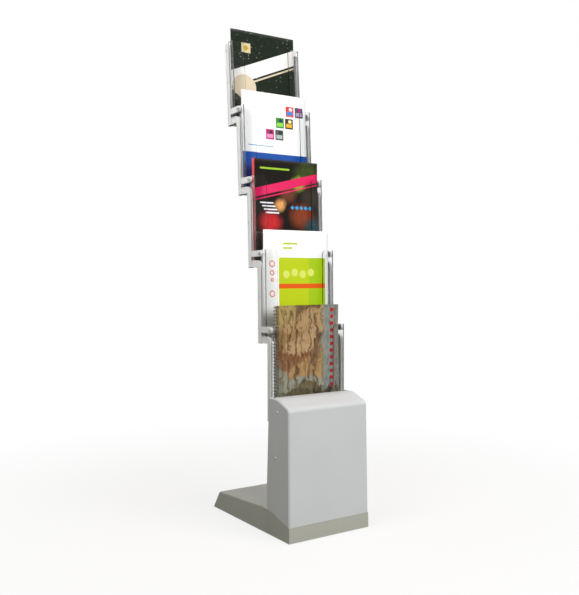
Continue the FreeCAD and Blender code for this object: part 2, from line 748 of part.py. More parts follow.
# ------------------------------------------------------------------ brackets in the hood
def bracket(side):
    """Plate on the hood's side with two arms, whose shoes guide the lowest tier's rail."""
    first = PLACES[0].Base
    arm_end = first.y - RAIL_DEPTH - ARM_GAP
    arm_front = FRONT + BRACKET_FRONT + BRACKET_BOSS / 2
    guide_low = first.z + GUIDE_UP - STEP_UP - GUIDE_HEIGHT / 2
    guide_high = guide_low + GUIDE_HEIGHT
    corners = [(FRONT + BRACKET_FRONT, BRACKET_LOW, BRACKET_RADIUS),
               (FRONT + HOOD_MOUTH, BRACKET_LOW, BRACKET_RADIUS),
               (arm_end, first.z, 0), (arm_end, guide_high, 0),
               (FRONT + BRACKET_FRONT, guide_high, BRACKET_RADIUS)]
    pieces = [side_prism(corners, *slab(side, (PLATE_FACE, PLATE_BACK)))]
    arm_range = slab(side, (RAIL_INNER, PLATE_FACE))
    for low, high in ((first.z, first.z + ARM_HEIGHT), (guide_low, guide_high)):
        pieces.append(block(arm_range, (arm_front, arm_end), (low, high)))
    for back, up in BRACKET_SCREWS:
        pieces.append(square_pad(side, BRACKET_BOSS,
                                 (PLATE_FACE - BRACKET_BOSS_HEIGHT, PLATE_FACE), back, up))
    cuts = [bracket_screw(side, back, up, 0.0) for back, up in BRACKET_SCREWS]
    cuts += [placed(piece, 0) for piece in shoe_pair(side)]
    return fused(pieces).cut(cuts)


# ------------------------------------------------------------------ ballast plate and feet
def plate_corners():
    """Plan of the ballast plate inside the foot's rim, clear of its raked rear end."""
    half = BASE_HALF - SHELL_WALL - PLATE_CLEAR
    front = FRONT + SHELL_WALL + PLATE_CLEAR
    rake = (BASE_LENGTH - FOOT_TOP_LENGTH) / (FOOT_BACK_UP - RIM_CLEAR)
    rise = FEET_HEIGHT + PLATE_THICK - RIM_CLEAR
    rear = -FRONT - SHELL_WALL - PLATE_CLEAR - rake * rise
    return [(-half, front, PLATE_RADIUS), (half, front, PLATE_RADIUS),
            (half, rear, PLATE_RADIUS), (-half, rear, PLATE_RADIUS)]


def ballast_plate():
    """Steel plate that closes the foot and gives the rack its weight."""
    plate = plan_prism(plate_corners(), FEET_HEIGHT, FEET_HEIGHT + PLATE_THICK)
    return plate.cut([plate_screw(x, y) for x, y in plate_screw_places()])


def plate_screw(x, y):
    """Hexagon screw from below, sunk in the plate, into a column of the foot."""
    head = plan_prism(polygon(x, y, SCREW_HEAD_RADIUS, HIDDEN_SIDES),
                      FEET_HEIGHT, FEET_HEIGHT + PLATE_SCREW_HEAD)
    shank = plan_prism(polygon(x, y, SCREW_RADIUS, HIDDEN_SIDES),
                       FEET_HEIGHT, FEET_HEIGHT + PLATE_SCREW_LENGTH)
    return fused([head, shank])


def rubber_feet():
    """Four square pads under the plate's corners."""
    across = BASE_HALF - FEET_INSET
    along = -FRONT - FEET_INSET
    half = FEET_SIZE / 2
    return [block((x - half, x + half), (y - half, y + half), (0, FEET_HEIGHT))
            for x in (-across, across) for y in (-along, along)]


# ------------------------------------------------------------------ assembly
def base_nodes():
    """Every node that stays on the floor."""
    nodes = {"foot_shell": [foot_shell()], "hood_shell": [hood_shell()],
             "ballast_plate": [ballast_plate()], "rubber_feet": rubber_feet(),
             "plate_screws": [plate_screw(x, y) for x, y in plate_screw_places()],
             "bracket_screws": bracket_screws(), "seam_clips": seam_clips()}
    shoes = []
    for name, side in SIDES:
        nodes["column_bracket_" + name] = [bracket(side)]
        shoes += [placed(piece, 0) for piece in shoe_pair(side)]
    nodes["base_shoes"] = shoes
    return nodes


def tier_nodes(tier):
    """Every node of one tier and its periodical, set in place."""
    number = str(tier + 1)
    local = {"pocket_" + number: [pocket(tier)], "rail_plugs_" + number: rail_plugs(),
             "fasteners_" + number: tier_fasteners(tier),
             "periodical_" + number: [periodical(tier)]}
    for name, side in SIDES:
        local["rail_" + name + "_" + number] = [side_rail(side, tier)]
        if tier < TIERS - 1:
            local["guide_arm_" + name + "_" + number] = [guide_arm(side, tier)]
    if tier < TIERS - 1:
        local["cross_tube_" + number] = [cross_tube()]
    if tier == 0:
        local["wire_rings"] = wire_rings()
    nodes = {name: [placed(shape, tier) for shape in shapes] for name, shapes in local.items()}
    if tier < TIERS - 1:
        nodes["shoes_" + number] = [placed(piece, tier + 1)
                                    for _, side in SIDES for piece in shoe_pair(side)]
    return nodes


def main():
    """Build every node and write one STEP file for each."""
    os.makedirs("parts", exist_ok=True)
    nodes = base_nodes()
    for tier in range(TIERS):
        nodes.update(tier_nodes(tier))
    for name, shapes in nodes.items():
        solids = [solid for shape in shapes for solid in shape.Solids]
        if len(solids) != len(shapes):
            raise ValueError(name + " has " + str(len(solids)) + " solids")
        shape = solids[0] if len(solids) == 1 else Part.makeCompound(solids)
        if not shape.isValid():
            raise ValueError(name + " is not valid")
        shape.exportStep("parts/" + name + ".step")
    print(len(nodes), "nodes written")


main()
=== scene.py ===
"""Looks of the floor-standing periodical rack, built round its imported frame.

Metres.  X is the width, +Y points to the rack's back, +Z is up.  A tier's pieces are worked out in
the tier's upright frame and then leaned back with it; the lean is read from the tier's slide.
"""

import json
import math

import bmesh
import bpy
import numpy as np
from mathutils import Matrix

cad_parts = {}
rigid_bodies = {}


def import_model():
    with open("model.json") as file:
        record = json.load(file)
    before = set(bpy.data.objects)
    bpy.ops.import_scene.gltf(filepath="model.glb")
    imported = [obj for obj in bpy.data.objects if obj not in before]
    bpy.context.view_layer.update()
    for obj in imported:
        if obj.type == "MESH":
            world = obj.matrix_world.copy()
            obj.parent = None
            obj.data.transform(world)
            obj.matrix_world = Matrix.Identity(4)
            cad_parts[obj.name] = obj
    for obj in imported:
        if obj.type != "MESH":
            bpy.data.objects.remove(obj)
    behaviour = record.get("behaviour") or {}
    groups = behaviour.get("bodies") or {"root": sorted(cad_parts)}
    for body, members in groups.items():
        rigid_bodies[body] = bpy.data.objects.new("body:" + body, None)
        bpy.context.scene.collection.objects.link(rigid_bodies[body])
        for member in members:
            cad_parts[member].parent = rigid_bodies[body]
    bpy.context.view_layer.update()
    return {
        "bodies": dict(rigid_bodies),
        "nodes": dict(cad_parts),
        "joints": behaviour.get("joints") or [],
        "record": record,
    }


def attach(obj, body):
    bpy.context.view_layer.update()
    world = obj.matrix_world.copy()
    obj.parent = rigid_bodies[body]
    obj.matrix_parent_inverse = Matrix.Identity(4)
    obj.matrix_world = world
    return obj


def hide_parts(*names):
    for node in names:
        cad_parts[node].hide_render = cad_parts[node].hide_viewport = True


bl_info = {
    "name": "Periodical Rack Looks",
    "version": (1, 0, 0),
    "blender": (4, 5, 0),
    "location": "3D View > Sidebar > Rack",
    "description": "Finishes, periodicals, fasteners and stage of a periodical rack",
    "category": "Object",
}

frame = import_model()
JOINTS = {joint["name"]: joint for joint in frame["joints"]}
TIERS = sum(name.startswith("tier_") for name in frame["bodies"])
PAGE_WIDTH_MM = 210.0
PAGE_HEIGHT_MM = 297.0
PAGE_MAP = "page"
SIDES = (-1, 1)
SHARP = math.radians(32)
TINY = 1e-7
WHITE = (1.0, 1.0, 1.0, 1.0)


# ------------------------------------------------------------------ settings
def number(label, text, default, **more):
    """Number, with a unit or bounds where they fit."""
    return bpy.props.FloatProperty(name=label, description=text, default=default, **more)


def length(label, text, default):
    """Length in metres."""
    return number(label, text, default, unit="LENGTH", precision=5, soft_min=0.0)


def colour(label, text, default):
    """Linear colour."""
    return bpy.props.FloatVectorProperty(name=label, description=text, default=default, size=3,
                                         subtype="COLOR", min=0.0, max=1.0)


def share(label, text, default):
    """Share from 0 to 1."""
    return number(label, text, default, min=0.0, max=1.0, subtype="FACTOR")


class ShellFinish(bpy.types.PropertyGroup):
    """Moulded hood and foot."""
    hood_colour: colour("Hood colour", "Grey of the moulded hood", (0.565, 0.583, 0.595))
    # Painted shade: the foot's grey is darker and warmer than the hood's, standing in for the shade
    # that the hood casts on the foot and for warm light from the floor.
    foot_colour_painted_shade: colour("Foot colour", "Grey of the moulded foot", (0.415, 0.42, 0.37))
    grain: length("Grain", "Cell of the moulded texture", 0.0009)
    grain_depth: length("Grain depth", "Depth of the moulded texture", 0.00006)
    roughness: share("Roughness", "Mean roughness of the moulded skin", 0.52)


class MetalFinish(bpy.types.PropertyGroup):
    """Rails, tubes, brackets and fasteners."""
    rail_colour: colour("Rail colour", "Silver lacquer of the rails", (0.80, 0.80, 0.79))
    tube_colour: colour("Tube colour", "Drawn tube", (0.55, 0.56, 0.57))
    zinc_colour: colour("Zinc colour", "Plated screws and rivets", (0.70, 0.70, 0.69))
    bracket_colour: colour("Bracket colour", "Powder coat of the brackets", (0.20, 0.205, 0.21))
    plate_colour: colour("Plate colour", "Powder coat of the ballast", (0.035, 0.036, 0.038))
    wire_colour: colour("Wire colour", "Binding wire", (0.13, 0.10, 0.08))
    line_pitch: length("Line pitch", "Pitch of the lines that the die leaves", 0.0004)


class PlasticFinish(bpy.types.PropertyGroup):
    """Small mouldings and the clear pockets."""
    clear_tint: colour("Clear tint", "Tint of the clear sheet", (0.985, 0.992, 0.995))
    clear_index: number("Index", "Refractive index of the sheet", 1.49, min=1.0, max=2.0)
    nylon_colour: colour("Nylon colour", "Natural nylon shoes", (0.72, 0.71, 0.66))
    plug_colour: colour("Plug colour", "End plugs of the rails", (0.09, 0.093, 0.098))
    clip_colour: colour("Clip colour", "Clips in the seam", (0.02, 0.02, 0.02))
    rubber_colour: colour("Rubber colour", "Feet", (0.018, 0.018, 0.019))


class FastenerSizes(bpy.types.PropertyGroup):
    """Knobs, rivets and screws, past what the frame gives."""
    washer_rise: length("Washer", "Thickness of a knob's washer", 0.0008)
    knob_radius: length("Knob radius", "Radius of a knob's head", 0.0046)
    insert_radius: length("Insert radius", "Radius of the insert in the pocket", 0.0042)
    shank_radius: length("Shank radius", "Radius of a knob's shank", 0.0025)
    edge: length("Edge", "Rounding of the heads", 0.0005)
    socket_radius: length("Socket radius", "Flats of a socket from its middle", 0.0019)
    socket_depth: length("Socket depth", "Depth of a socket", 0.0013)
    rivet_shank: length("Rivet shank", "Radius of a rivet's shank", 0.0015)
    cross_reach: length("Cross reach", "Reach of a cross recess", 0.0022)
    cross_width: length("Cross width", "Half width of a cross recess", 0.0005)
    screw_shank: length("Screw shank", "Radius of a screw's shank", 0.002)


class PeriodicalSizes(bpy.types.PropertyGroup):
    """Periodicals and the wire comb."""
    cover: length("Cover", "Thickness of a cover", 0.00035)
    curl: length("Curl", "How far the free top of a periodical comes forward", 0.0022)
    signatures: bpy.props.IntProperty(name="Signatures", description="Bundles of pages that show",
                                      default=7, min=2, max=20)
    creep: length("Creep", "Unevenness of the trimmed pages", 0.00035)
    fold: length("Fold", "Distance over which a stapled spine swells", 0.007)
    corner: length("Spine corner", "Rounding of a glued spine", 0.0007)
    hinge: length("Hinge", "Distance of the pressed hinge from a glued spine", 0.0065)
    wire: length("Wire", "Diameter of the binding wire", 0.001)
    twin: length("Twin", "Distance between the two wires of a loop", 0.0019)
    hole: length("Hole", "Height of a punched hole", 0.0036)
    hole_reach: length("Hole reach", "Width of a punched hole", 0.0042)
    hole_play: length("Hole play", "Room between a hole's inner side and the wire", 0.0003)


class StageSettings(bpy.types.PropertyGroup):
    """Floor, light and camera."""
    eye: bpy.props.FloatVectorProperty(name="Eye", description="Place of the camera", size=3,
                                       default=(-1.2128, -1.8381, 0.6739), unit="LENGTH")
    yaw: number("Yaw", "Turn from +Y towards +X", 0.5861, unit="ROTATION")
    pitch: number("Pitch", "Tilt above the horizon", -0.0276, unit="ROTATION")
    roll: number("Roll", "Turn about the line of sight", -0.0017, unit="ROTATION")
    focal: number("Focal length", "Lens, in millimetres", 47.98, unit="CAMERA")
    floor_span: length("Floor", "Side of the floor", 30.0)
    floor_colour: colour("Floor colour", "Pale floor", (0.86, 0.86, 0.86))
    floor_near: share("Floor glow near", "Share of the floor's own white beside the rack", 0.76)
    floor_dull: length("Floor dull", "Distance up to which the floor keeps its own white", 0.3)
    floor_fade: length("Floor fade", "Distance at which the floor has gone white", 1.6)
    floor_bounce: colour("Floor bounce", "Light that the floor sends up", (0.17, 0.145, 0.09))
    sky: number("Sky", "Strength of the even light", 0.28)
    sky_colour: colour("Sky colour", "Even light", (0.99, 0.98, 0.95))
    bright_side: bpy.props.FloatVectorProperty(name="Bright side", size=3, subtype="DIRECTION",
                                               description="Where the brightest reflections lie",
                                               default=(-0.64, 0.60, 0.48))
    gleam: number("Gleam", "Brightest reflected sky", 1.2)
    gleam_from: number("Gleam from", "Cosine from the bright side where the gleam is full", 0.6)
    gleam_colour: colour("Gleam colour", "Reflected sky", (0.97, 0.98, 1.0))
    dim: number("Dim", "Darkest reflected sky", 0.10)
    dim_from: number("Dim from", "Cosine from the bright side where it is darkest", -0.5)
    key: number("Key", "Power of the front light", 156.0, unit="POWER")
    side: number("Side", "Power of the light at the left", 14.0, unit="POWER")
    top: number("Top", "Power of the overhead light", 19.0, unit="POWER")


# ------------------------------------------------------------------ the frame's places
def lean(tier):
    """Turn about X that takes a tier's upright frame to the rack's own."""
    axis = JOINTS["tier_%d_slide" % tier]["axis"]
    angle = math.atan2(axis[1], axis[2])
    return np.array([[1.0, 0.0, 0.0],
                     [0.0, math.cos(angle), math.sin(angle)],
                     [0.0, -math.sin(angle), math.cos(angle)]])


def upright(node, turn):
    """A CAD node's vertices in an upright frame."""
    vertices = frame["nodes"][node].data.vertices
    points = np.empty(len(vertices) * 3)
    vertices.foreach_get("co", points)
    return points.reshape(-1, 3) @ turn


def lots(points, axis, gap):
    """Boxes (low, high) of the lots that points fall into where they leave a gap on an axis."""
    order = points[np.argsort(points[:, axis])]
    breaks = np.nonzero(np.diff(order[:, axis]) > gap)[0] + 1
    return [(lot.min(0), lot.max(0)) for lot in np.split(order, breaks)]


# ------------------------------------------------------------------ surfaces
def grid_faces(rows, columns, ring=False):
    """Four-sided faces of a grid of points numbered row by row; a ring joins the last column
    to the first."""
    row, column = np.meshgrid(np.arange(rows - 1), np.arange(columns if ring else columns - 1),
                              indexing="ij")
    following = (column + 1) % columns
    corners = [row * columns + column, row * columns + following,
               (row + 1) * columns + following, (row + 1) * columns + column]
    return np.stack(corners, -1).reshape(-1, 4)


def turned(profile, centre, side, recess=None, steps=40):
    """Surface of revolution about X: profile point i is (along, radius, sunk), its ring lies at
    x = side times along, and its radius at the angle t is radius plus sunk times
    (recess(t) - radius), so a sunk ring takes the recess's outline.  The ends close on the axis."""
    along, radius, sunk = np.array(profile, float).T
    angle = 2 * math.pi * np.arange(steps) / steps
    outline = np.zeros(steps) if recess is None else recess(angle)
    reach = radius[:, None] + sunk[:, None] * (outline[None, :] - radius[:, None])
    points = np.empty(reach.shape + (3,))
    points[..., 0] = (side * along)[:, None]
    points[..., 1] = centre[1] + reach * np.cos(angle)
    points[..., 2] = centre[2] + reach * np.sin(angle)
    return points.reshape(-1, 3), grid_faces(len(profile), steps, ring=True)


def closed_faces(rows, columns):
    """Faces of a grid of rings, with one more face over its first ring and one over its last."""
    last = (rows - 1) * columns
    return grid_faces(rows, columns, ring=True).tolist() + [
        list(range(columns))[::-1], list(range(last, last + columns))]


def raised(plan, heights):
    """A plan line (n, 2) carried up through heights (m, ): point (i, j) is plan j at height i."""
    points = np.empty((len(heights), len(plan), 3))
    points[..., :2] = plan
    points[..., 2] = heights[:, None]
    return points.reshape(-1, 3)


def joined(surfaces):
    """Several (points, faces) as one."""
    points = []
    faces = []
    start = 0
    for some, shapes in surfaces:
        points.append(some)
        faces += [[corner + start for corner in face] for face in shapes]
        start += len(some)
    return np.concatenate(points), faces


def tube(path, outward, radius, sides):
    """Round tube along a path: ring i stands square to the path's slope there, at
    path + radius times (cos t outward + sin t (slope x outward)).  Both ends are closed."""
    slope = np.gradient(path, axis=0)
    slope /= np.linalg.norm(slope, axis=1, keepdims=True)
    across = np.cross(slope, outward)
    angle = 2 * math.pi * np.arange(sides) / sides
    points = path[:, None, :] + radius * (np.cos(angle)[None, :, None] * outward[:, None, :]
                                          + np.sin(angle)[None, :, None] * across[:, None, :])
    return points.reshape(-1, 3), closed_faces(len(path), sides)


def punched(xs, zs, missing, y_front, y_rear):
    """Slab between two planes on a grid of lines: every cell that isn't missing gives a front
    and a rear face, and every border of a kept cell with none beside it gives a wall."""
    columns = len(zs)
    count = len(xs) * columns
    x, z = np.meshgrid(xs, zs, indexing="ij")
    front = np.stack([x, np.full_like(x, y_front), z], -1).reshape(-1, 3)
    rear = front + (0.0, y_rear - y_front, 0.0)
    kept = ~missing
    cells = grid_faces(len(xs), columns)[kept.ravel()]
    around = np.pad(kept, 1)
    i, j = np.nonzero(around[1:, 1:-1] != around[:-1, 1:-1])
    upright_wall = np.stack([i * columns + j, i * columns + j + 1], -1)
    i, j = np.nonzero(around[1:-1, 1:] != around[1:-1, :-1])
    level_wall = np.stack([i * columns + j, (i + 1) * columns + j], -1)
    walls = np.concatenate([upright_wall, level_wall])
    walls = np.concatenate([walls, walls[:, ::-1] + count], 1)
    faces = np.concatenate([cells, cells[:, ::-1] + count, walls])
    return np.concatenate([front, rear]), faces.tolist()


def placed(mesh, material, body, replaced=()):
    """Object of a mesh: it rides on a body and may replace CAD nodes."""
    mesh.materials.append(material)
    thing = bpy.data.objects.new(mesh.name, mesh)
    bpy.context.scene.collection.objects.link(thing)
    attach(thing, body)
    if replaced:
        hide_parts(*replaced)
    return thing


def piece(name, surface, turn, material, body, replaced=()):
    """Makes a mesh of (points, faces) given in an upright frame and lets it ride on a body."""
    points, faces = surface
    mesh = bpy.data.meshes.new(name)
    mesh.from_pydata((points @ turn.T).tolist(), [], [list(face) for face in faces])
    cleaned = bmesh.new()
    cleaned.from_mesh(mesh)
    bmesh.ops.remove_doubles(cleaned, verts=cleaned.verts, dist=TINY)
    bmesh.ops.dissolve_degenerate(cleaned, edges=cleaned.edges, dist=TINY)
    bmesh.ops.recalc_face_normals(cleaned, faces=cleaned.faces)
    cleaned.to_mesh(mesh)
    cleaned.free()
    mesh.shade_smooth()
    mesh.set_sharp_from_angle(angle=SHARP)
    return placed(mesh, material, body, replaced)


# ------------------------------------------------------------------ shader nodes
def ink(code):
    """Linear colour of a six-digit screen colour."""
    channels = np.array([(code >> shift) & 255 for shift in (16, 8, 0)]) / 255.0
    linear = np.where(channels <= 0.04045, channels / 12.92, ((channels + 0.055) / 1.055) ** 2.4)
    return (*(float(value) for value in linear), 1.0)


def connect(tree, socket, value):
    """Links a socket, or sets it to a plain value."""
    if isinstance(value, bpy.types.NodeSocket):
        tree.links.new(value, socket)
    else:
        socket.default_value = value


def add(tree, kind, options=None, **inputs):
    """New shader node with its options and its sockets, by name."""
    node = tree.nodes.new("ShaderNode" + kind)
    for option, value in (options or {}).items():
        setattr(node, option, value)
    for name, value in inputs.items():
        connect(tree, node.inputs[name.replace("_", " ")], value)
    return node


def maths(tree, operation, *values):
    """Math node."""
    node = tree.nodes.new("ShaderNodeMath")
    node.operation = operation
    for socket, value in zip(node.inputs, values):
        connect(tree, socket, value)
    return node.outputs[0]


def vectors(tree, operation, *values):
    """Vector Math node; a length and a dot product come out as numbers."""
    node = tree.nodes.new("ShaderNodeVectorMath")
    node.operation = operation
    for socket, value in zip(node.inputs, values):
        connect(tree, socket, value)
    return node.outputs["Value" if operation in ("LENGTH", "DOT_PRODUCT") else "Vector"]


def ramped(tree, value, from_low, from_high, to_low=0.0, to_high=1.0, smooth=False):
    """Map Range node, clamped."""
    node = add(tree, "MapRange",
               {"clamp": True, "interpolation_type": "SMOOTHSTEP" if smooth else "LINEAR"},
               Value=value, From_Min=from_low, From_Max=from_high, To_Min=to_low, To_Max=to_high)
    return node.outputs["Result"]


def mixed(tree, factor, first, second):
    """Colour mix."""
    node = tree.nodes.new("ShaderNodeMix")
    node.data_type = "RGBA"
    connect(tree, node.inputs[0], factor)
    connect(tree, node.inputs[6], first)
    connect(tree, node.inputs[7], second)
    return node.outputs[2]


def blended(tree, factor, first, second):
    """Mix of two shader nodes."""
    node = tree.nodes.new("ShaderNodeMixShader")
    for socket, value in zip(node.inputs, (factor, first.outputs[0], second.outputs[0])):
        connect(tree, socket, value)
    return node


def new_group(name, takes, gives):
    """Empty node group: takes holds (name, kind, default), gives holds (name, kind)."""
    tree = bpy.data.node_groups.new(name, "ShaderNodeTree")
    for label, kind, default in takes:
        socket = tree.interface.new_socket(label, in_out="INPUT", socket_type="NodeSocket" + kind)
        socket.default_value = default
    for label, kind in gives:
        tree.interface.new_socket(label, in_out="OUTPUT", socket_type="NodeSocket" + kind)
    entry = tree.nodes.new("NodeGroupInput")
    leave = tree.nodes.new("NodeGroupOutput")
    return tree, entry.outputs, leave.inputs


def first_sight(tree):
    """1 on a path that has met nothing yet but clear sheet, and 1 once it has met gloss."""
    path = add(tree, "LightPath")
    met = maths(tree, "ADD", path.outputs["Glossy Depth"], path.outputs["Diffuse Depth"])
    return (maths(tree, "LESS_THAN", met, 0.5),
            maths(tree, "GREATER_THAN", path.outputs["Glossy Depth"], 0.5))


def use(tree, name, **inputs):
    """Places a node group in a tree and gives its outputs."""
    node = tree.nodes.new("ShaderNodeGroup")
    node.node_tree = bpy.data.node_groups[name]
    for label, value in inputs.items():
        connect(tree, node.inputs[label.replace("_", " ")], value)
    return node.outputs


def grain_group():
    """Moulded texture: fine cells for the height, slow clouds for gloss and tone."""
    tree, takes, gives = new_group(
        "Moulded Grain", [("Place", "Vector", (0, 0, 0)), ("Cell", "Float", 0.001)],
        [("Height", "Float"), ("Cloud", "Float")])
    scale = maths(tree, "DIVIDE", 1.0, takes["Cell"])
    fine = add(tree, "TexNoise", Vector=takes["Place"], Scale=scale, Detail=3.0, Roughness=0.6)
    pores = add(tree, "TexVoronoi", {"feature": "SMOOTH_F1"}, Vector=takes["Place"],
                Scale=maths(tree, "MULTIPLY", scale, 0.7))
    height = maths(tree, "ADD", fine.outputs["Fac"],
                   maths(tree, "MULTIPLY", pores.outputs["Distance"], 0.6))
    cloud = add(tree, "TexNoise", Vector=takes["Place"], Scale=7.0, Detail=4.0, Roughness=0.55)
    connect(tree, gives["Height"], height)
    connect(tree, gives["Cloud"], ramped(tree, cloud.outputs["Fac"], 0.3, 0.7))


def lines_group():
    """Die lines: noise drawn out along Z, fine across it."""
    tree, takes, gives = new_group(
        "Die Lines", [("Place", "Vector", (0, 0, 0)), ("Pitch", "Float", 0.0004)],
        [("Height", "Float"), ("Tone", "Float")])
    across = maths(tree, "DIVIDE", 1.0, takes["Pitch"])
    scale = add(tree, "CombineXYZ", X=across, Y=across, Z=6.0)
    stretched = vectors(tree, "MULTIPLY", takes["Place"], scale.outputs["Vector"])
    fine = add(tree, "TexNoise", Vector=stretched, Scale=1.0, Detail=2.0)
    slow = add(tree, "TexNoise", Vector=vectors(tree, "MULTIPLY", takes["Place"], (90, 90, 2)),
               Scale=1.0, Detail=2.0)
    connect(tree, gives["Height"], fine.outputs["Fac"])
    connect(tree, gives["Tone"], ramped(tree, slow.outputs["Fac"], 0.3, 0.7))


def handling_group():
    """Traces of use: soft smudges, and hairline scratches where stretched noise peaks."""
    tree, takes, gives = new_group(
        "Handling", [("Place", "Vector", (0, 0, 0))], [("Smudge", "Float"), ("Scratch", "Float")])
    smudge = add(tree, "TexNoise", Vector=takes["Place"], Scale=22.0, Detail=5.0, Distortion=0.6)
    turned_place = add(tree, "VectorRotate", {"rotation_type": "EULER_XYZ"},
                       Vector=takes["Place"], Rotation=(0.4, 0.7, 0.5))
    hair = vectors(tree, "MULTIPLY", turned_place.outputs["Vector"], (900, 60, 40))
    scratch = add(tree, "TexNoise", Vector=hair, Scale=1.0, Detail=1.0)
    connect(tree, gives["Smudge"], ramped(tree, smudge.outputs["Fac"], 0.45, 0.75))
    connect(tree, gives["Scratch"], ramped(tree, scratch.outputs["Fac"], 0.72, 0.8))


def page_edge_group():
    """Trimmed pages: thin darker lines from one sheet to the next along Y."""
    tree, takes, gives = new_group(
        "Page Edges", [("Place", "Vector", (0, 0, 0)), ("Pitch", "Float", 0.00022)],
        [("Line", "Float")])
    across = maths(tree, "DIVIDE", 1.0, takes["Pitch"])
    scale = add(tree, "CombineXYZ", X=3.0, Y=across, Z=3.0)
    stretched = vectors(tree, "MULTIPLY", takes["Place"], scale.outputs["Vector"])
    sheet = add(tree, "TexNoise", Vector=stretched, Scale=1.0, Detail=2.0)
    connect(tree, gives["Line"], ramped(tree, sheet.outputs["Fac"], 0.35, 0.6))


def placed_on_page(tree, takes):
    """Page millimetres from a mask's own centre, turned with it."""
    offset = vectors(tree, "SUBTRACT", takes["Page"], takes["Centre"])
    turned_offset = add(tree, "VectorRotate", {"rotation_type": "Z_AXIS"}, Vector=offset,
                        Angle=takes["Turn"])
    return turned_offset.outputs["Vector"]


MASK_TAKES = [("Page", "Vector", (0, 0, 0)), ("Centre", "Vector", (0, 0, 0)),
              ("Size", "Vector", (10, 10, 1)), ("Turn", "Float", 0.0), ("Soft", "Float", 0.2)]


def disc_group():
    """Mask of an ellipse: 1 where the offset over the radii is shorter than 1."""
    tree, takes, gives = new_group("Disc Mask", MASK_TAKES, [("Mask", "Float")])
    away = vectors(tree, "LENGTH", vectors(tree, "DIVIDE", placed_on_page(tree, takes),
                                           takes["Size"]))
    near = maths(tree, "SUBTRACT", 1.0, takes["Soft"])
    far = maths(tree, "ADD", 1.0, takes["Soft"])
    connect(tree, gives["Mask"], ramped(tree, away, near, far, 1.0, 0.0, smooth=True))


def block_group():
    """Mask of a rounded block: 1 where the signed distance to its outline is under 0."""
    tree, takes, gives = new_group("Block Mask", MASK_TAKES + [("Corner", "Float", 0.0)],
                                   [("Mask", "Float")])
    reach = vectors(tree, "SUBTRACT", vectors(tree, "ABSOLUTE", placed_on_page(tree, takes)),
                    takes["Size"])
    corner = add(tree, "CombineXYZ", X=takes["Corner"], Y=takes["Corner"])
    reach = vectors(tree, "ADD", reach, corner.outputs["Vector"])
    past = vectors(tree, "MULTIPLY", vectors(tree, "MAXIMUM", reach, (0, 0, 0)), (1, 1, 0))
    side = add(tree, "SeparateXYZ", Vector=reach)
    within = maths(tree, "MINIMUM", maths(tree, "MAXIMUM", side.outputs["X"], side.outputs["Y"]),
                   0.0)
    away = maths(tree, "SUBTRACT", maths(tree, "ADD", vectors(tree, "LENGTH", past), within),
                 takes["Corner"])
    inner = maths(tree, "MULTIPLY", takes["Soft"], -1.0)
    connect(tree, gives["Mask"], ramped(tree, away, inner, takes["Soft"], 1.0, 0.0))


def wave_group():
    """Mask under a wave: 1 where the offset's height is under rise times the sine of the offset
    along, over the wave's length.  Size holds the wave's length and rise."""
    tree, takes, gives = new_group("Wave Mask", MASK_TAKES, [("Mask", "Float")])
    offset = add(tree, "SeparateXYZ", Vector=placed_on_page(tree, takes))
    size = add(tree, "SeparateXYZ", Vector=takes["Size"])
    phase = maths(tree, "DIVIDE", maths(tree, "MULTIPLY", offset.outputs["X"], 2 * math.pi),
                  size.outputs["X"])
    crest = maths(tree, "MULTIPLY", maths(tree, "SINE", phase), size.outputs["Y"])
    above = maths(tree, "SUBTRACT", offset.outputs["Y"], crest)
    inner = maths(tree, "MULTIPLY", takes["Soft"], -1.0)
    connect(tree, gives["Mask"], ramped(tree, above, inner, takes["Soft"], 1.0, 0.0))


def fleck_group():
    """Mask of scattered flecks: 1 close to the points of a random pattern, on a share of them."""
    tree, takes, gives = new_group(
        "Fleck Mask", [("Page", "Vector", (0, 0, 0)), ("Pitch", "Float", 6.0),
                       ("Radius", "Float", 0.2), ("Kept", "Float", 0.5)], [("Mask", "Float")])
    cells = add(tree, "TexVoronoi", Vector=takes["Page"],
                Scale=maths(tree, "DIVIDE", 1.0, takes["Pitch"]))
    near = ramped(tree, cells.outputs["Distance"], maths(tree, "MULTIPLY", takes["Radius"], 0.6),
                  takes["Radius"], 1.0, 0.0)
    lot = add(tree, "SeparateColor", Color=cells.outputs["Color"])
    kept = maths(tree, "LESS_THAN", lot.outputs["Red"], takes["Kept"])
    connect(tree, gives["Mask"], maths(tree, "MULTIPLY", near, kept))


def brush_group():
    """Loose painting: the page's places pushed about by two sizes of noise, and a stroke tone."""
    tree, takes, gives = new_group(
        "Brush", [("Page", "Vector", (0, 0, 0)), ("Push", "Float", 8.0)],
        [("Page", "Vector"), ("Stroke", "Float")])
    broad = add(tree, "TexNoise", Vector=takes["Page"], Scale=0.028, Detail=2.0)
    dab = add(tree, "TexVoronoi", {"feature": "F1"},
              Vector=vectors(tree, "MULTIPLY", takes["Page"], (0.16, 0.085, 1)), Scale=1.0)
    moved = vectors(tree, "SUBTRACT", broad.outputs["Color"], (0.5, 0.5, 0.5))
    moved = vectors(tree, "MULTIPLY", moved, (6.0, 6.0, 0.0))
    dabs = vectors(tree, "SUBTRACT", dab.outputs["Color"], (0.5, 0.5, 0.5))
    moved = vectors(tree, "ADD", moved, vectors(tree, "MULTIPLY", dabs, (1.1, 1.1, 0.0)))
    push = add(tree, "CombineXYZ", X=takes["Push"], Y=takes["Push"])
    moved = vectors(tree, "MULTIPLY", moved, push.outputs["Vector"])
    connect(tree, gives["Page"], vectors(tree, "ADD", takes["Page"], moved))
    tone = add(tree, "SeparateColor", Color=dab.outputs["Color"])
    connect(tree, gives["Stroke"], tone.outputs["Green"])


def shared_groups():
    """Builds every node group once."""
    for build in (grain_group, lines_group, handling_group, page_edge_group, disc_group,
                  block_group, wave_group, fleck_group, brush_group):
        build()


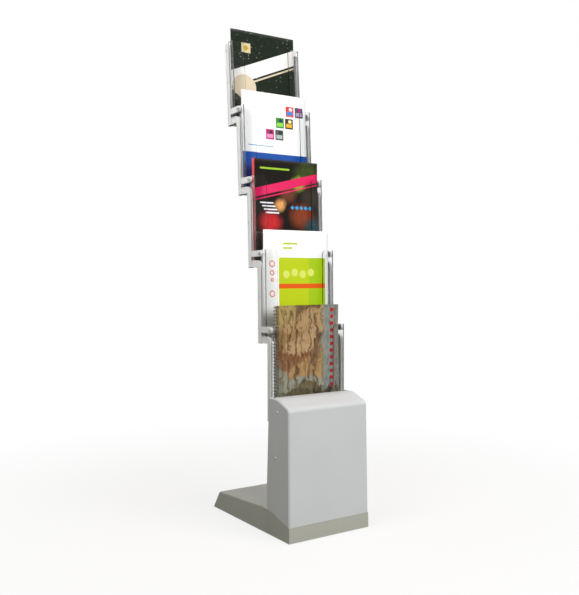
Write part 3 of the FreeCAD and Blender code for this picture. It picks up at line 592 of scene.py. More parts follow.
# ------------------------------------------------------------------ materials
def new_material(name):
    """Material with an empty tree, and its Object coordinates."""
    material = bpy.data.materials.new(name)
    material.use_nodes = True
    tree = material.node_tree
    tree.nodes.clear()
    place = add(tree, "TexCoord").outputs["Object"]
    return material, tree, place


def finish_surface(tree, **inputs):
    """Principled shader with its sockets, led to the material's output."""
    shader = add(tree, "BsdfPrincipled", **inputs)
    add(tree, "OutputMaterial", Surface=shader.outputs["BSDF"])


def bumped(tree, height, distance, strength=1.0):
    """Normal of a Bump node."""
    return add(tree, "Bump", Height=height, Distance=distance, Strength=strength).outputs["Normal"]


def solid(rgb, factor=1.0):
    """Colour with an alpha of 1, made lighter or darker by a factor."""
    return (*(min(1.0, channel * factor) for channel in rgb), 1.0)


def moulded(name, rgb, grain, depth, roughness):
    """Textured moulded plastic: fine grain, slow change of tone and gloss, a few smudges."""
    material, tree, place = new_material(name)
    texture = use(tree, "Moulded Grain", Place=place, Cell=grain)
    traces = use(tree, "Handling", Place=place)
    tone = mixed(tree, texture["Cloud"], solid(rgb, 0.985), solid(rgb, 1.02))
    tone = mixed(tree, maths(tree, "MULTIPLY", traces["Scratch"], 0.12), tone, solid(rgb, 1.3))
    rough = ramped(tree, maths(tree, "ADD", texture["Cloud"],
                               maths(tree, "MULTIPLY", traces["Smudge"], -0.5)),
                   -0.5, 1.0, roughness - 0.08, roughness + 0.05)
    finish_surface(tree, Base_Color=tone, Roughness=rough, IOR=1.5,
                   Normal=bumped(tree, texture["Height"], depth))
    return material


def drawn(name, rgb, pitch, roughness):
    """Satin lacquered aluminium with the die's lines along the section."""
    material, tree, place = new_material(name)
    lines = use(tree, "Die Lines", Place=place, Pitch=pitch)
    traces = use(tree, "Handling", Place=place)
    tone = mixed(tree, lines["Tone"], solid(rgb, 0.94), solid(rgb, 1.05))
    rough = ramped(tree, maths(tree, "ADD", lines["Tone"], traces["Scratch"]), 0.0, 1.6,
                   roughness, roughness + 0.14)
    finish_surface(tree, Base_Color=tone, Metallic=0.45, Roughness=rough, Coat_Weight=0.15,
                   Coat_Roughness=0.35, Normal=bumped(tree, lines["Height"], 0.00002))
    return material


def plated(name, rgb, roughness):
    """Bright plated or drawn steel, clouded and lightly scratched."""
    material, tree, place = new_material(name)
    texture = use(tree, "Moulded Grain", Place=place, Cell=0.0012)
    traces = use(tree, "Handling", Place=place)
    tone = mixed(tree, texture["Cloud"], solid(rgb, 0.9), solid(rgb, 1.06))
    rough = ramped(tree, maths(tree, "ADD", texture["Cloud"], traces["Scratch"]), 0.0, 2.0,
                   roughness, roughness + 0.2)
    finish_surface(tree, Base_Color=tone, Metallic=1.0, Roughness=rough,
                   Normal=bumped(tree, texture["Height"], 0.00001))
    return material


def coated(name, rgb):
    """Powder coat: orange-peel skin over metal."""
    material, tree, place = new_material(name)
    texture = use(tree, "Moulded Grain", Place=place, Cell=0.0022)
    tone = mixed(tree, texture["Cloud"], solid(rgb, 0.92), solid(rgb, 1.08))
    rough = ramped(tree, texture["Cloud"], 0.0, 1.0, 0.38, 0.5)
    finish_surface(tree, Base_Color=tone, Roughness=rough,
                   Normal=bumped(tree, texture["Height"], 0.00008))
    return material


def clear_sheet(name, rgb, index):
    """Polished clear sheet: smudges and hairlines change its gloss.  Lamps shine through it."""
    material, tree, place = new_material(name)
    traces = use(tree, "Handling", Place=place)
    rough = ramped(tree, maths(tree, "ADD", maths(tree, "MULTIPLY", traces["Smudge"], 0.5),
                               traces["Scratch"]), 0.0, 1.5, 0.015, 0.09)
    shader = add(tree, "BsdfPrincipled", Base_Color=solid(rgb), Roughness=rough, IOR=index,
                 Transmission_Weight=1.0)
    open_way = add(tree, "BsdfTransparent", Color=solid(rgb))
    both = blended(tree, add(tree, "LightPath").outputs["Is Shadow Ray"], shader, open_way)
    add(tree, "OutputMaterial", Surface=both.outputs["Shader"])
    return material


def page_stock(name, rgb):
    """Uncoated pages: thin lines at the trimmed edges and a little yellowing."""
    material, tree, place = new_material(name)
    edges = use(tree, "Page Edges", Place=place)
    texture = use(tree, "Moulded Grain", Place=place, Cell=0.0005)
    tone = mixed(tree, edges["Line"], solid(rgb, 0.72), solid(rgb))
    tone = mixed(tree, maths(tree, "MULTIPLY", texture["Cloud"], 0.3), tone, solid(rgb, 0.93))
    finish_surface(tree, Base_Color=tone, Roughness=0.85,
                   Normal=bumped(tree, edges["Line"], 0.00006))
    return material


# ------------------------------------------------------------------ printed covers
class Print:
    """A cover's print: inks laid one over the other through masks in page millimetres, where
    x runs from the spine to the fore-edge, and below 0 on the rear cover, and y runs up from the
    foot."""

    def __init__(self, name, paper):
        self.material, self.tree, self.object_place = new_material(name)
        page = add(self.tree, "UVMap", {"uv_map": PAGE_MAP})
        self.page = vectors(self.tree, "MULTIPLY", page.outputs["UV"],
                            (PAGE_WIDTH_MM, PAGE_HEIGHT_MM, 0.0))
        self.flat_page = self.page
        self.tone = paper

    def lay(self, colour_code, mask, strength=1.0):
        """Lays one ink over the print, as far as the mask and the strength say."""
        if strength < 1.0:
            mask = maths(self.tree, "MULTIPLY", mask, strength)
        self.tone = mixed(self.tree, mask, self.tone, ink(colour_code))

    def masked(self, group, centre, size, turn, soft, **more):
        """Mask of a shape at a place on the page, turned anticlockwise by degrees."""
        return use(self.tree, group, Page=self.page, Centre=(*centre, 0.0), Size=(*size, 1.0),
                   Turn=math.radians(-turn), Soft=soft, **more)["Mask"]

    def disc(self, colour_code, centre, radii, turn=0.0, soft=0.006, strength=1.0):
        """Ellipse of one ink."""
        self.lay(colour_code, self.masked("Disc Mask", centre, radii, turn, soft), strength)

    def block(self, colour_code, centre, size, turn=0.0, corner=0.0, soft=0.15, strength=1.0):
        """Rectangle of one ink, with its width and height and rounded corners."""
        half = (size[0] / 2, size[1] / 2)
        self.lay(colour_code, self.masked("Block Mask", centre, half, turn, soft, Corner=corner),
                 strength)

    def wave(self, colour_code, centre, wavelength, rise, turn=0.0, soft=0.2, strength=1.0):
        """All that lies under a wave, in one ink."""
        self.lay(colour_code, self.masked("Wave Mask", centre, (wavelength, rise), turn, soft),
                 strength)

    def flecks(self, colour_code, pitch, radius, kept, strength=1.0):
        """Scattered flecks of one ink."""
        mask = use(self.tree, "Fleck Mask", Page=self.page, Pitch=pitch, Radius=radius,
                   Kept=kept)["Mask"]
        self.lay(colour_code, mask, strength)

    def brush(self, push):
        """From here on the inks are laid with a loose brush; gives the strokes' tone."""
        moved = use(self.tree, "Brush", Page=self.flat_page, Push=push)
        self.page = moved["Page"]
        return moved["Stroke"]

    def flat(self):
        """Back to sharp print."""
        self.page = self.flat_page

    def done(self, gloss):
        """Coated stock: gloss coat over the print, and a faint waviness of the sheet."""
        texture = use(self.tree, "Moulded Grain", Place=self.object_place, Cell=0.012)
        traces = use(self.tree, "Handling", Place=self.object_place)
        rough = ramped(self.tree, traces["Smudge"], 0.0, 1.0, 0.34, 0.44)
        finish_surface(self.tree, Base_Color=self.tone, Roughness=rough, Coat_Weight=gloss,
                       Coat_Roughness=0.12,
                       Normal=bumped(self.tree, texture["Height"], 0.0002, 0.35))
        return self.material


def ochre_print():
    """Loose autumn wood: slanting bands of ochre and rust crossed by rows of thin trunks, with
    grey-blue air at the right and a red rule."""
    cover = Print("print_ochre", ink(0xA28A52))
    stroke = cover.brush(6.0)
    cover.block(0x54341A, (104, 288), (84, 44), turn=5, soft=3.0)
    cover.wave(0xA8875C, (60, 262), 230, 9, turn=16, soft=4.0)
    cover.wave(0x8E6A40, (60, 226), 150, 10, turn=-12, soft=4.0)
    cover.wave(0xB08F68, (60, 204), 190, 9, turn=18, soft=3.0)
    cover.wave(0x7E4A2A, (90, 168), 140, 11, turn=-14, soft=3.0)
    cover.wave(0xA07C50, (60, 138), 170, 9, turn=15, soft=3.0)
    cover.wave(0x82877C, (90, 108), 150, 8, turn=-11, soft=2.5)
    cover.wave(0x4A4632, (60, 80), 120, 8, turn=9, soft=2.0)
    for step in range(7):
        cover.block(0x43260F, (22 + 22 * step, 190 - 9 * (step % 3)),
                    (3.5 + 2.5 * (step % 3), 210), turn=-3 + 2 * (step % 4), soft=1.6,
                    strength=0.85)
    cover.block(0x54301A, (136, 176), (26, 96), turn=-16, soft=6.0, strength=0.85)
    cover.block(0x6C8286, (186, 190), (58, 250), turn=1, soft=7.0, strength=0.85)
    cover.block(0x26241A, (170, 62), (90, 26), turn=9, soft=5.0)
    cover.lay(0xCDB88E, maths(cover.tree, "MULTIPLY", stroke, 0.18))
    cover.lay(0x2A1E12, maths(cover.tree, "MULTIPLY",
                              maths(cover.tree, "SUBTRACT", 0.45, stroke), 0.5))
    cover.flat()
    cover.block(0x5F594C, (3.0, 148.5), (12, 300), strength=0.4)
    for step in range(12):
        cover.block(0xA8202C, (187, 283 - 18.5 * step), (13 - 3 * (step % 2), 9.5), corner=1.2,
                    soft=0.3)
    cover.block(0xA8202C, (197.5, 180), (1.3, 224), soft=0.2)
    return cover.done(0.25)


def lime_print():
    """White cover with a square-topped lime field, an orange rule low across it and a column of
    pale rings by the spine."""
    cover = Print("print_lime", ink(0xFBFBFA))
    cover.block(0xBDD000, (124, 112), (152, 222), corner=5.0)
    cover.block(0xA4C808, (173, 112), (54, 222), corner=5.0)
    cover.block(0xE65A00, (124, 146), (152, 13), soft=0.25)
    for up, radius in ((206, 9.0), (182, 7.0), (163, 5.0), (126, 9.0)):
        cover.disc(0xE65A00, (26, up), (radius, radius), soft=0.04)
        cover.disc(0xFBFBFA, (26, up), (radius - 2.6, radius - 2.6), soft=0.06)
    for step in range(4):
        cover.disc(0xDCE46A, (72 + 27 * step, 178 + 5 * (step % 2)), (10.5, 10.5), soft=0.03)
    for width, up in ((46, 261), (30, 249)):
        cover.block(0xBDD000, (62 + width / 2, up), (width, 4.6), corner=2.3)
    cover.block(0xC9CCD6, (150, 20), (58, 1.3), corner=0.6)
    cover.block(0xBDD000, (-150, 40), (90, 60), corner=6)
    return cover.done(0.35)


def night_print():
    """Lights at night out of focus: a slanting string of soft lamps over a dark ground, crossed
    by a wide and a thin magenta band, with level white bars and a green rule."""
    cover = Print("print_night", ink(0x14100C))
    stroke = cover.brush(2.0)
    for spot, radii, tone in (((176, 262), (34, 30), 0x3C4A18), ((148, 232), (20, 18), 0x9DB42A),
                              ((116, 204), (24, 22), 0x6B3A20), ((88, 172), (16, 15), 0xE8A25A),
                              ((190, 196), (26, 24), 0x3A3428), ((160, 142), (34, 30), 0x8A3A16),
                              ((196, 112), (24, 22), 0x2A4A50), ((54, 122), (30, 26), 0xD01018)):
        cover.disc(tone, spot, radii, soft=0.6)
    cover.lay(0x040404, maths(cover.tree, "MULTIPLY", stroke, 0.3))
    cover.flat()
    cover.block(0xE0005A, (100, 226), (300, 24), turn=14, soft=0.3)
    cover.block(0xE0005A, (100, 206), (300, 3.5), turn=14, soft=0.3)
    for step in range(4):
        cover.block(0xF4F2FA, (44 + 6 * step, 176 - 9 * step), (44, 4.0), corner=2.0, soft=0.3)
    cover.block(0x9AC81C, (72, 272), (96, 5.0), corner=2.5, soft=0.3)
    for step in range(5):
        cover.block(0x1E9FDA, (128 + 15 * step, 166), (9, 9), turn=45, soft=0.3)
    cover.block(0xD81020, (2, 148.5), (9, 300), soft=0.2)
    cover.block(0xD81020, (-110, 148.5), (220, 300), soft=0.2)
    return cover.done(0.6)


def blue_print():
    """White cover over a blue foot, with small bright pictures set like a stair."""
    cover = Print("print_blue", ink(0xFBFBFC))
    cover.block(0x054AA0, (100, 36), (620, 172), soft=0.2)
    for index, (base, mark, spot) in enumerate((
            (0x4A4458, 0xA99ABA, 0x9A2A7A), (0xE0341C, 0x1C84D6, 0xCFE4F6),
            (0x3A2E18, 0xE7B21C, 0xF4E3A8), (0x2E8A2E, 0x8ED84A, 0x2A2E58),
            (0x4E5450, 0xB0BAB4, 0x2A2E33), (0xC0126E, 0xF08BC2, 0x3A3230))):
        middle = (190 - 34 * (index // 2) - 31 * (index % 2), 250 - 36 * (index // 2))
        cover.block(base, middle, (27, 30), corner=1.5, soft=0.3)
        cover.block(mark, (middle[0], middle[1] - 5), (20, 11), corner=1.5, soft=0.3)
        cover.disc(spot, (middle[0] + 3, middle[1] + 7), (6.0, 5.0), soft=0.08)
    cover.block(0x6C9AD4, (60, 142), (84, 2.4), corner=1.2)
    return cover.done(0.4)


def green_print():
    """Green-black speckled cover crossed by a slanting white band, with a cream disc low by the
    spine and a small buff tile above."""
    cover = Print("print_green", ink(0x161E14))
    cover.flecks(0xC9D2BC, 9.0, 0.17, 0.4, 0.8)
    cover.flecks(0x6E8068, 4.0, 0.26, 0.45, 0.5)
    cover.block(0xF4F0EE, (118, 196), (330, 44), turn=24, soft=0.3)
    cover.block(0xD8C8AE, (130, 168), (330, 5), turn=24, soft=0.3)
    cover.disc(0xD8C8AE, (40, 122), (38, 38), soft=0.015)
    cover.block(0xCFC396, (48, 244), (30, 30), soft=0.3)
    cover.block(0xB99A34, (48, 244), (14, 14), turn=45, soft=0.3)
    cover.block(0xF5F1E6, (-105, 250), (60, 24), corner=3.0)
    return cover.done(0.3)


PRINTS = (ochre_print, lime_print, night_print, blue_print, green_print)


# ------------------------------------------------------------------ periodicals
GLUED_TIERS = (3, 4)        # tiers whose periodical has a glued spine; the others are stapled
COVER_COLUMNS = 40          # points across one side of a cover
COVER_ROWS = 25             # points up a cover and a bundle of pages
PAGE_COLUMNS = 16           # points across a bundle of pages
SPINE_STEPS = 9             # points in a quarter turn of the spine
SPINE_HOLD = 0.6            # share of the curl that a spine takes
HINGE_WIDTH = 0.0008        # half width of the pressed hinge
HINGE_DENT = 0.72           # depth of the hinge, as a share of the cover's thickness
NARROW_FOLD = 0.55          # share of the thickness that a stapled spine lacks at its fold
STAPLE_CLEAR = 0.0016       # distance of the pages from a stapled fold
PAGES_INSET = 1.3           # distance of bound pages from the outside, in covers
LOOP_GAP = 0.002            # least gap in height between two loops of the comb
COMB_START = 0.9            # angle at which a loop starts, in radians
COMB_OPENING = 0.5          # angle that a loop leaves open
COMB_STEPS = 22             # points along one wire of a loop
TIP_STEPS = 7               # points round the tip of a loop
WIRE_SIDES = 6


def leafed(points, low, high, curl):
    """Bends a periodical: y comes forward by curl times the square of the height's share past
    the middle, in full at the fore-edge and by SPINE_HOLD of it at the spine."""
    height = (points[:, 2] - low[2]) / (high[2] - low[2])
    across = (points[:, 0] - low[0]) / (high[0] - low[0])
    free = np.clip((height - 0.5) / 0.5, 0.0, 1.0)
    bent = points.copy()
    bent[:, 1] -= curl * free ** 2 * (SPINE_HOLD + (1.0 - SPINE_HOLD) * across)
    return bent


def half_thickness(away, thick, glued, sizes):
    """Half of a periodical's thickness at a distance from its spine: even when it is glued, and
    swelling from a narrow fold when it is stapled."""
    if glued:
        return np.full_like(away, thick / 2)
    return thick / 2 * (1.0 - NARROW_FOLD * np.exp(-away / sizes.fold))


def cover_plan(low, high, glued, sizes):
    """Centreline of a cover in plan, from the rear fore-edge round the spine to the front one,
    and each point's signed distance from the spine."""
    thick = high[1] - low[1] - sizes.cover
    middle = (high[1] + low[1]) / 2
    round_end = sizes.corner if glued else float(half_thickness(np.zeros(1), thick, False,
                                                                sizes)[0])
    away = (high[0] - low[0] - round_end) * np.linspace(0.0, 1.0, COVER_COLUMNS) ** 1.7
    half = half_thickness(away, thick, glued, sizes)
    pressed = (glued * HINGE_DENT * sizes.cover
               * np.exp(-((away - sizes.hinge) / HINGE_WIDTH) ** 2))
    front = np.stack([low[0] + round_end + away, middle - half + pressed], 1)
    rear = np.stack([low[0] + round_end + away, middle + half], 1)[::-1]
    angle = np.linspace(0.5, 1.0, SPINE_STEPS)[1:-1] * math.pi
    flat = thick / 2 - round_end if glued else 0.0
    upper = np.stack([low[0] + round_end + round_end * np.cos(angle),
                      middle + flat + round_end * np.sin(angle)], 1)
    lower = np.stack([upper[::-1, 0], 2 * middle - upper[::-1, 1]], 1)
    plan = np.concatenate([rear, upper, [[low[0], middle]], lower, front])
    step = np.linalg.norm(np.diff(plan, axis=0), axis=1)
    run = np.concatenate([[0.0], np.cumsum(step)])
    return plan, run - run[len(rear) + len(upper)]


def bound_cover(name, low, high, glued, turn, material, node, sizes):
    """Folded cover: the plan's line carried up in rows, then given its thickness to both sides."""
    plan, run = cover_plan(low, high, glued, sizes)
    heights = np.linspace(low[2], high[2], COVER_ROWS)
    points = leafed(raised(plan, heights), low, high, sizes.curl)
    faces = grid_faces(len(heights), len(plan))
    mesh = bpy.data.meshes.new(name)
    mesh.from_pydata((points @ turn.T).tolist(), [], faces.tolist())
    layer = mesh.uv_layers.new(name=PAGE_MAP)
    level, column = np.divmod(faces.ravel(), len(plan))
    width = PAGE_WIDTH_MM / 1000
    layer.uv.foreach_set("vector", np.stack([run[column] / width, level / (len(heights) - 1)],
                                            1).astype(np.float32).ravel())
    mesh.shade_smooth()
    wall = placed(mesh, material, node, (node,)).modifiers.new("thickness", "SOLIDIFY")
    wall.thickness = sizes.cover
    wall.offset = 0.0
    wall.use_even_offset = True


def page_block(low, high, glued, sizes):
    """Bundles of pages inside a cover: each is a plan outline between two lines that follow the
    periodical's thickness, trimmed a little differently from the next, and carried up."""
    thick = high[1] - low[1] - 2.4 * sizes.cover
    middle = (high[1] + low[1]) / 2
    start = low[0] + (2 * sizes.cover if glued else STAPLE_CLEAR)
    count = sizes.signatures
    bundles = []
    for index in range(count):
        end = high[0] - sizes.creep * (0.4 + abs(math.sin(2.4 * index)))
        x = start + (end - start) * np.linspace(0.0, 1.0, PAGE_COLUMNS) ** 1.5
        half = half_thickness(x - low[0], thick, glued, sizes)
        near = middle + half * (2 * index / count - 1) + 0.02 * sizes.cover
        far = middle + half * (2 * (index + 1) / count - 1) - 0.02 * sizes.cover
        plan = np.concatenate([np.stack([x, near], 1), np.stack([x, far], 1)[::-1]])
        top = high[2] - sizes.creep * (0.2 + abs(math.sin(1.7 * index + 0.6)))
        heights = np.linspace(low[2] + sizes.creep, top, COVER_ROWS)
        bundles.append((raised(plan, heights), closed_faces(len(heights), len(plan))))
    points, faces = joined(bundles)
    return leafed(points, low, high, sizes.curl), faces


def punched_block(low, high, y_front, y_rear, inset, holes, reach, sizes):
    """Sheet or bundle of the wire-bound periodical, with a hole for each loop."""
    x0, x1 = reach
    xs = np.concatenate([[low[0] + inset, x0, x1], np.linspace(x1, high[0] - inset, 8)[1:]])
    edges = np.stack([holes - sizes.hole / 2, holes + sizes.hole / 2], 1).ravel()
    zs = np.concatenate([[low[2] + inset], edges, [high[2] - inset]])
    missing = np.zeros((len(xs) - 1, len(zs) - 1), bool)
    missing[1, 1:-1:2] = True
    points, faces = punched(xs, zs, missing, y_front, y_rear)
    return leafed(points, low, high, sizes.curl), faces


def map_pages(thing, turn, low, high):
    """Page map of a flat cover: its upright x and z over the page's width and height."""
    mesh = thing.data
    points = np.empty(len(mesh.vertices) * 3)
    mesh.vertices.foreach_get("co", points)
    points = points.reshape(-1, 3) @ turn
    corner = np.empty(len(mesh.loops), int)
    mesh.loops.foreach_get("vertex_index", corner)
    spread = (points[:, (0, 2)] - low[[0, 2]]) / (high[[0, 2]] - low[[0, 2]])
    layer = mesh.uv_layers.new(name=PAGE_MAP)
    layer.uv.foreach_set("vector", spread[corner].astype(np.float32).ravel())


def loop_heights(rings):
    """Heights of the middles of the comb's loops."""
    return np.array([(low[2] + high[2]) / 2 for low, high in lots(rings, 2, LOOP_GAP)])


def comb_path(heights, centre, radius, sizes):
    """Line of a twin-wire comb and its outward directions.  On the unrolled cylinder of the
    loops the line runs out at one height, turns round the tip, runs back a twin's distance
    higher, and turns on to the next loop; rolled up, a run of s becomes the angle s / radius."""
    twin = sizes.twin / 2
    pitch = float(np.diff(heights).mean())
    link = (pitch - sizes.twin) / 2
    run = radius * (2 * math.pi - COMB_OPENING) - twin - link
    out = np.linspace(0.0, run, COMB_STEPS)
    tip = np.linspace(-0.5, 0.5, TIP_STEPS)[1:-1] * math.pi
    s = np.concatenate([out, run + twin * np.cos(tip), out[::-1], -link * np.cos(tip)])
    up = np.concatenate([np.full(COMB_STEPS, -twin), twin * np.sin(tip),
                         np.full(COMB_STEPS, twin), twin + link + link * np.sin(tip)])
    s = np.tile(s, len(heights))
    z = (heights[:, None] + up[None, :]).ravel()
    keep = len(s) - len(tip)
    angle = COMB_START + s[:keep] / radius
    outward = np.stack([np.cos(angle), np.sin(angle), np.zeros(keep)], 1)
    path = outward * radius + np.array([centre[0], centre[1], 0.0])
    path[:, 2] = z[:keep]
    return path, outward


# ------------------------------------------------------------------ fasteners
FASTENER_GAP = 0.02         # least gap in height between two fasteners
KNOB_CROWN = 0.0003         # how far a knob's crown falls to its edge
DOME_RISE = 0.0012          # height of a rivet's head
PAN_RISE = 0.0018           # height of a screw's head
PAN_CROWN = 0.0004          # how far a screw's crown falls to its edge
POINT_LENGTH = 0.001        # length of a screw's point
CROSS_DEPTH = 0.0012        # depth of a cross recess
RECESS_LIP = 0.00005        # step from a head's face into its recess
RECESS_CONE = 0.0002        # drop of a socket's floor to its middle
CROSS_CONE = 0.0001         # drop of a cross recess's floor to its middle


def six_sided(flat):
    """Outline of a hexagon whose flats lie at a distance: r = flat / cos(t mod 60 - 30)."""
    step = math.pi / 3
    return lambda t: flat / np.cos(np.mod(t, step) - step / 2)


def cross_shaped(reach, half):
    """Outline of a cross: r = the lesser of reach / cos and half / sin from the nearest arm."""
    step = math.pi / 2
    def outline(t):
        off = np.abs(np.mod(t + step / 2, step) - step / 2)
        return np.minimum(reach / np.cos(off), half / np.maximum(np.sin(off), TINY))
    return outline


def rounded_head(start, radius, rise, crown, edge):
    """Profile of a head from its seat to its crown's middle: straight flank, a quarter round
    of the edge, and a crown that falls by crown times (r / radius) squared."""
    turn = np.linspace(0.0, math.pi / 2, 6)
    flank = [(start, radius, 0.0)]
    for angle in turn:
        reach = radius - edge + edge * math.cos(angle)
        fall = crown * (reach / radius) ** 2
        flank.append((start + rise - edge - fall + edge * math.sin(angle), reach, 0.0))
    return flank


def socketed(profile, top, radius, depth):
    """Closes a head with a recess: a rim at its mouth, the sunk wall and floor, and the middle."""
    return profile + [(top, radius * 1.25, 0.0), (top - RECESS_LIP, radius, 1.0),
                      (top - depth, radius * 0.98, 1.0), (top - depth, radius * 0.5, 0.0),
                      (top - depth - RECESS_CONE, 0.0, 0.0)]


def measured(box):
    """Centre of a fastener's box, how far from the middle plane it starts and ends, and the
    radius of its widest part."""
    low, high = box
    ends = np.abs([low[0], high[0]])
    return (low + high) / 2, ends.min(), ends.max(), (high[1] - low[1]) / 2


def knob_surface(box, arm_outer, pocket_face, side, sizes):
    """Clamping knob: insert in the pocket's side, shank through the arm, washer and head."""
    centre, inner, outer, washer = measured(box)
    edge = sizes.edge
    profile = [(inner, 0.0, 0.0), (inner, sizes.insert_radius - edge, 0.0),
               (inner + edge, sizes.insert_radius, 0.0), (pocket_face, sizes.insert_radius, 0.0),
               (pocket_face, sizes.shank_radius, 0.0), (arm_outer, sizes.shank_radius, 0.0),
               (arm_outer, washer, 0.0), (arm_outer + sizes.washer_rise * 0.7, washer, 0.0),
               (arm_outer + sizes.washer_rise, washer - 0.3 * edge, 0.0)]
    start = arm_outer + sizes.washer_rise
    profile += rounded_head(start, sizes.knob_radius, outer - start, KNOB_CROWN, edge)
    profile = socketed(profile, outer, sizes.socket_radius, sizes.socket_depth)
    return turned(profile, centre, side, six_sided(sizes.socket_radius), 48)


def rivet_surface(box, side, sizes):
    """Domed rivet: shank through the rail and the pocket, head in the rail's panel."""
    centre, inner, outer, radius = measured(box)
    dome = outer - DOME_RISE
    angle = np.linspace(0.0, math.pi / 2, 8)
    profile = [(inner, 0.0, 0.0), (inner, sizes.rivet_shank, 0.0), (dome, sizes.rivet_shank, 0.0)]
    profile += [(dome + (outer - dome) * math.sin(a), radius * math.cos(a), 0.0) for a in angle]
    return turned(profile, centre, side, steps=28)


def screw_surface(box, side, sizes):
    """Pan-head screw with a cross recess."""
    centre, inner, outer, radius = measured(box)
    seat = outer - PAN_RISE
    reach = sizes.cross_reach
    profile = [(inner, 0.0, 0.0), (inner + POINT_LENGTH, sizes.screw_shank, 0.0),
               (seat, sizes.screw_shank, 0.0)]
    profile += rounded_head(seat, radius, PAN_RISE, PAN_CROWN, 2 * sizes.edge)
    profile += [(outer, reach * 1.15, 0.0), (outer - RECESS_LIP, reach, 1.0),
                (outer - CROSS_DEPTH, reach * 0.8, 0.8),
                (outer - CROSS_DEPTH - CROSS_CONE, 0.0, 0.0)]
    return turned(profile, centre, side, cross_shaped(sizes.cross_reach, sizes.cross_width), 64)


# ------------------------------------------------------------------ operators
def paint(names, material):
    """Gives CAD nodes a material."""
    for name in names:
        for slot in frame["nodes"][name].material_slots:
            slot.material = material


def nodes_named(*starts):
    """CAD nodes whose names start with one of the words."""
    return [name for name in frame["nodes"] if name.startswith(starts)]


class RACK_OT_groups(bpy.types.Operator):
    """Build the shader node groups that the finishes share"""
    bl_idname = "rack.groups"
    bl_label = "Shared effects"

    def execute(self, context):
        shared_groups()
        return {"FINISHED"}


class RACK_OT_base(bpy.types.Operator):
    """Finish the moulded hood and foot, the ballast plate, the brackets and the feet"""
    bl_idname = "rack.base"
    bl_label = "Base"

    def execute(self, context):
        shell = context.scene.rack_shell
        metal = context.scene.rack_metal
        plastic = context.scene.rack_plastic
        paint(["hood_shell"], moulded("hood_skin", shell.hood_colour, shell.grain,
                                      shell.grain_depth, shell.roughness))
        # The foot's skin carries painted shade: its grey is darker and warmer than the hood's.
        paint(["foot_shell"], moulded("foot_skin", shell.foot_colour_painted_shade, shell.grain,
                                      shell.grain_depth, shell.roughness))
        paint(["ballast_plate"], coated("plate_coat", metal.plate_colour))
        paint(nodes_named("column_bracket"), coated("bracket_coat", metal.bracket_colour))
        paint(["rubber_feet"], moulded("foot_rubber", plastic.rubber_colour, grain=0.0015,
                                       depth=0.0001, roughness=0.8))
        paint(["seam_clips"], moulded("clip_plastic", plastic.clip_colour, grain=0.001,
                                      depth=0.00005, roughness=0.5))
        return {"FINISHED"}


class RACK_OT_rails(bpy.types.Operator):
    """Finish the rails, guide arms, cross tubes, end plugs and slide shoes"""
    bl_idname = "rack.rails"
    bl_label = "Rails"

    def execute(self, context):
        metal = context.scene.rack_metal
        plastic = context.scene.rack_plastic
        paint(nodes_named("rail_left", "rail_right", "guide_arm"),
              drawn("rail_lacquer", metal.rail_colour, metal.line_pitch, roughness=0.36))
        paint(nodes_named("cross_tube"),
              drawn("tube_satin", metal.tube_colour, metal.line_pitch, roughness=0.3))
        paint(nodes_named("rail_plugs"),
              moulded("plug_plastic", plastic.plug_colour, grain=0.001, depth=0.00005,
                      roughness=0.55))
        paint(nodes_named("shoes", "base_shoes"),
              moulded("shoe_nylon", plastic.nylon_colour, grain=0.0012, depth=0.00004,
                      roughness=0.42))
        return {"FINISHED"}


class RACK_OT_pockets(bpy.types.Operator):
    """Finish the clear pockets"""
    bl_idname = "rack.pockets"
    bl_label = "Pockets"

    def execute(self, context):
        plastic = context.scene.rack_plastic
        paint(nodes_named("pocket"), clear_sheet("pocket_clear", plastic.clear_tint,
                                                 plastic.clear_index))
        return {"FINISHED"}


class RACK_OT_fasteners(bpy.types.Operator):
    """Make the knobs and rivets of every tier and the screws of the base"""
    bl_idname = "rack.fasteners"
    bl_label = "Fasteners"

    def execute(self, context):
        sizes = context.scene.rack_fasteners
        zinc = plated("zinc_plate", context.scene.rack_metal.zinc_colour, roughness=0.28)
        for tier in range(1, TIERS + 1):
            turn = lean(tier)
            node = "fasteners_%d" % tier
            points = upright(node, turn)
            rail = np.abs(upright("rail_left_%d" % tier, turn)[:, 0])
            surfaces = []
            for side in SIDES:
                for box in lots(points[points[:, 0] * side > 0], 2, FASTENER_GAP):
                    if box[1][1] - box[0][1] > 2 * sizes.knob_radius:
                        surfaces.append(knob_surface(box, rail.max(), rail.min(), side, sizes))
                    else:
                        surfaces.append(rivet_surface(box, side, sizes))
            piece("fixings_%d" % tier, joined(surfaces), turn, zinc, "tier_%d" % tier,
                  (node,))
        points = upright("bracket_screws", np.eye(3))
        surfaces = [screw_surface(box, side, sizes) for side in SIDES
                    for box in lots(points[points[:, 0] * side > 0], 2, FASTENER_GAP)]
        piece("hood_screws", joined(surfaces), np.eye(3), zinc, "base",
              ("bracket_screws",))
        paint(["plate_screws"], zinc)
        return {"FINISHED"}


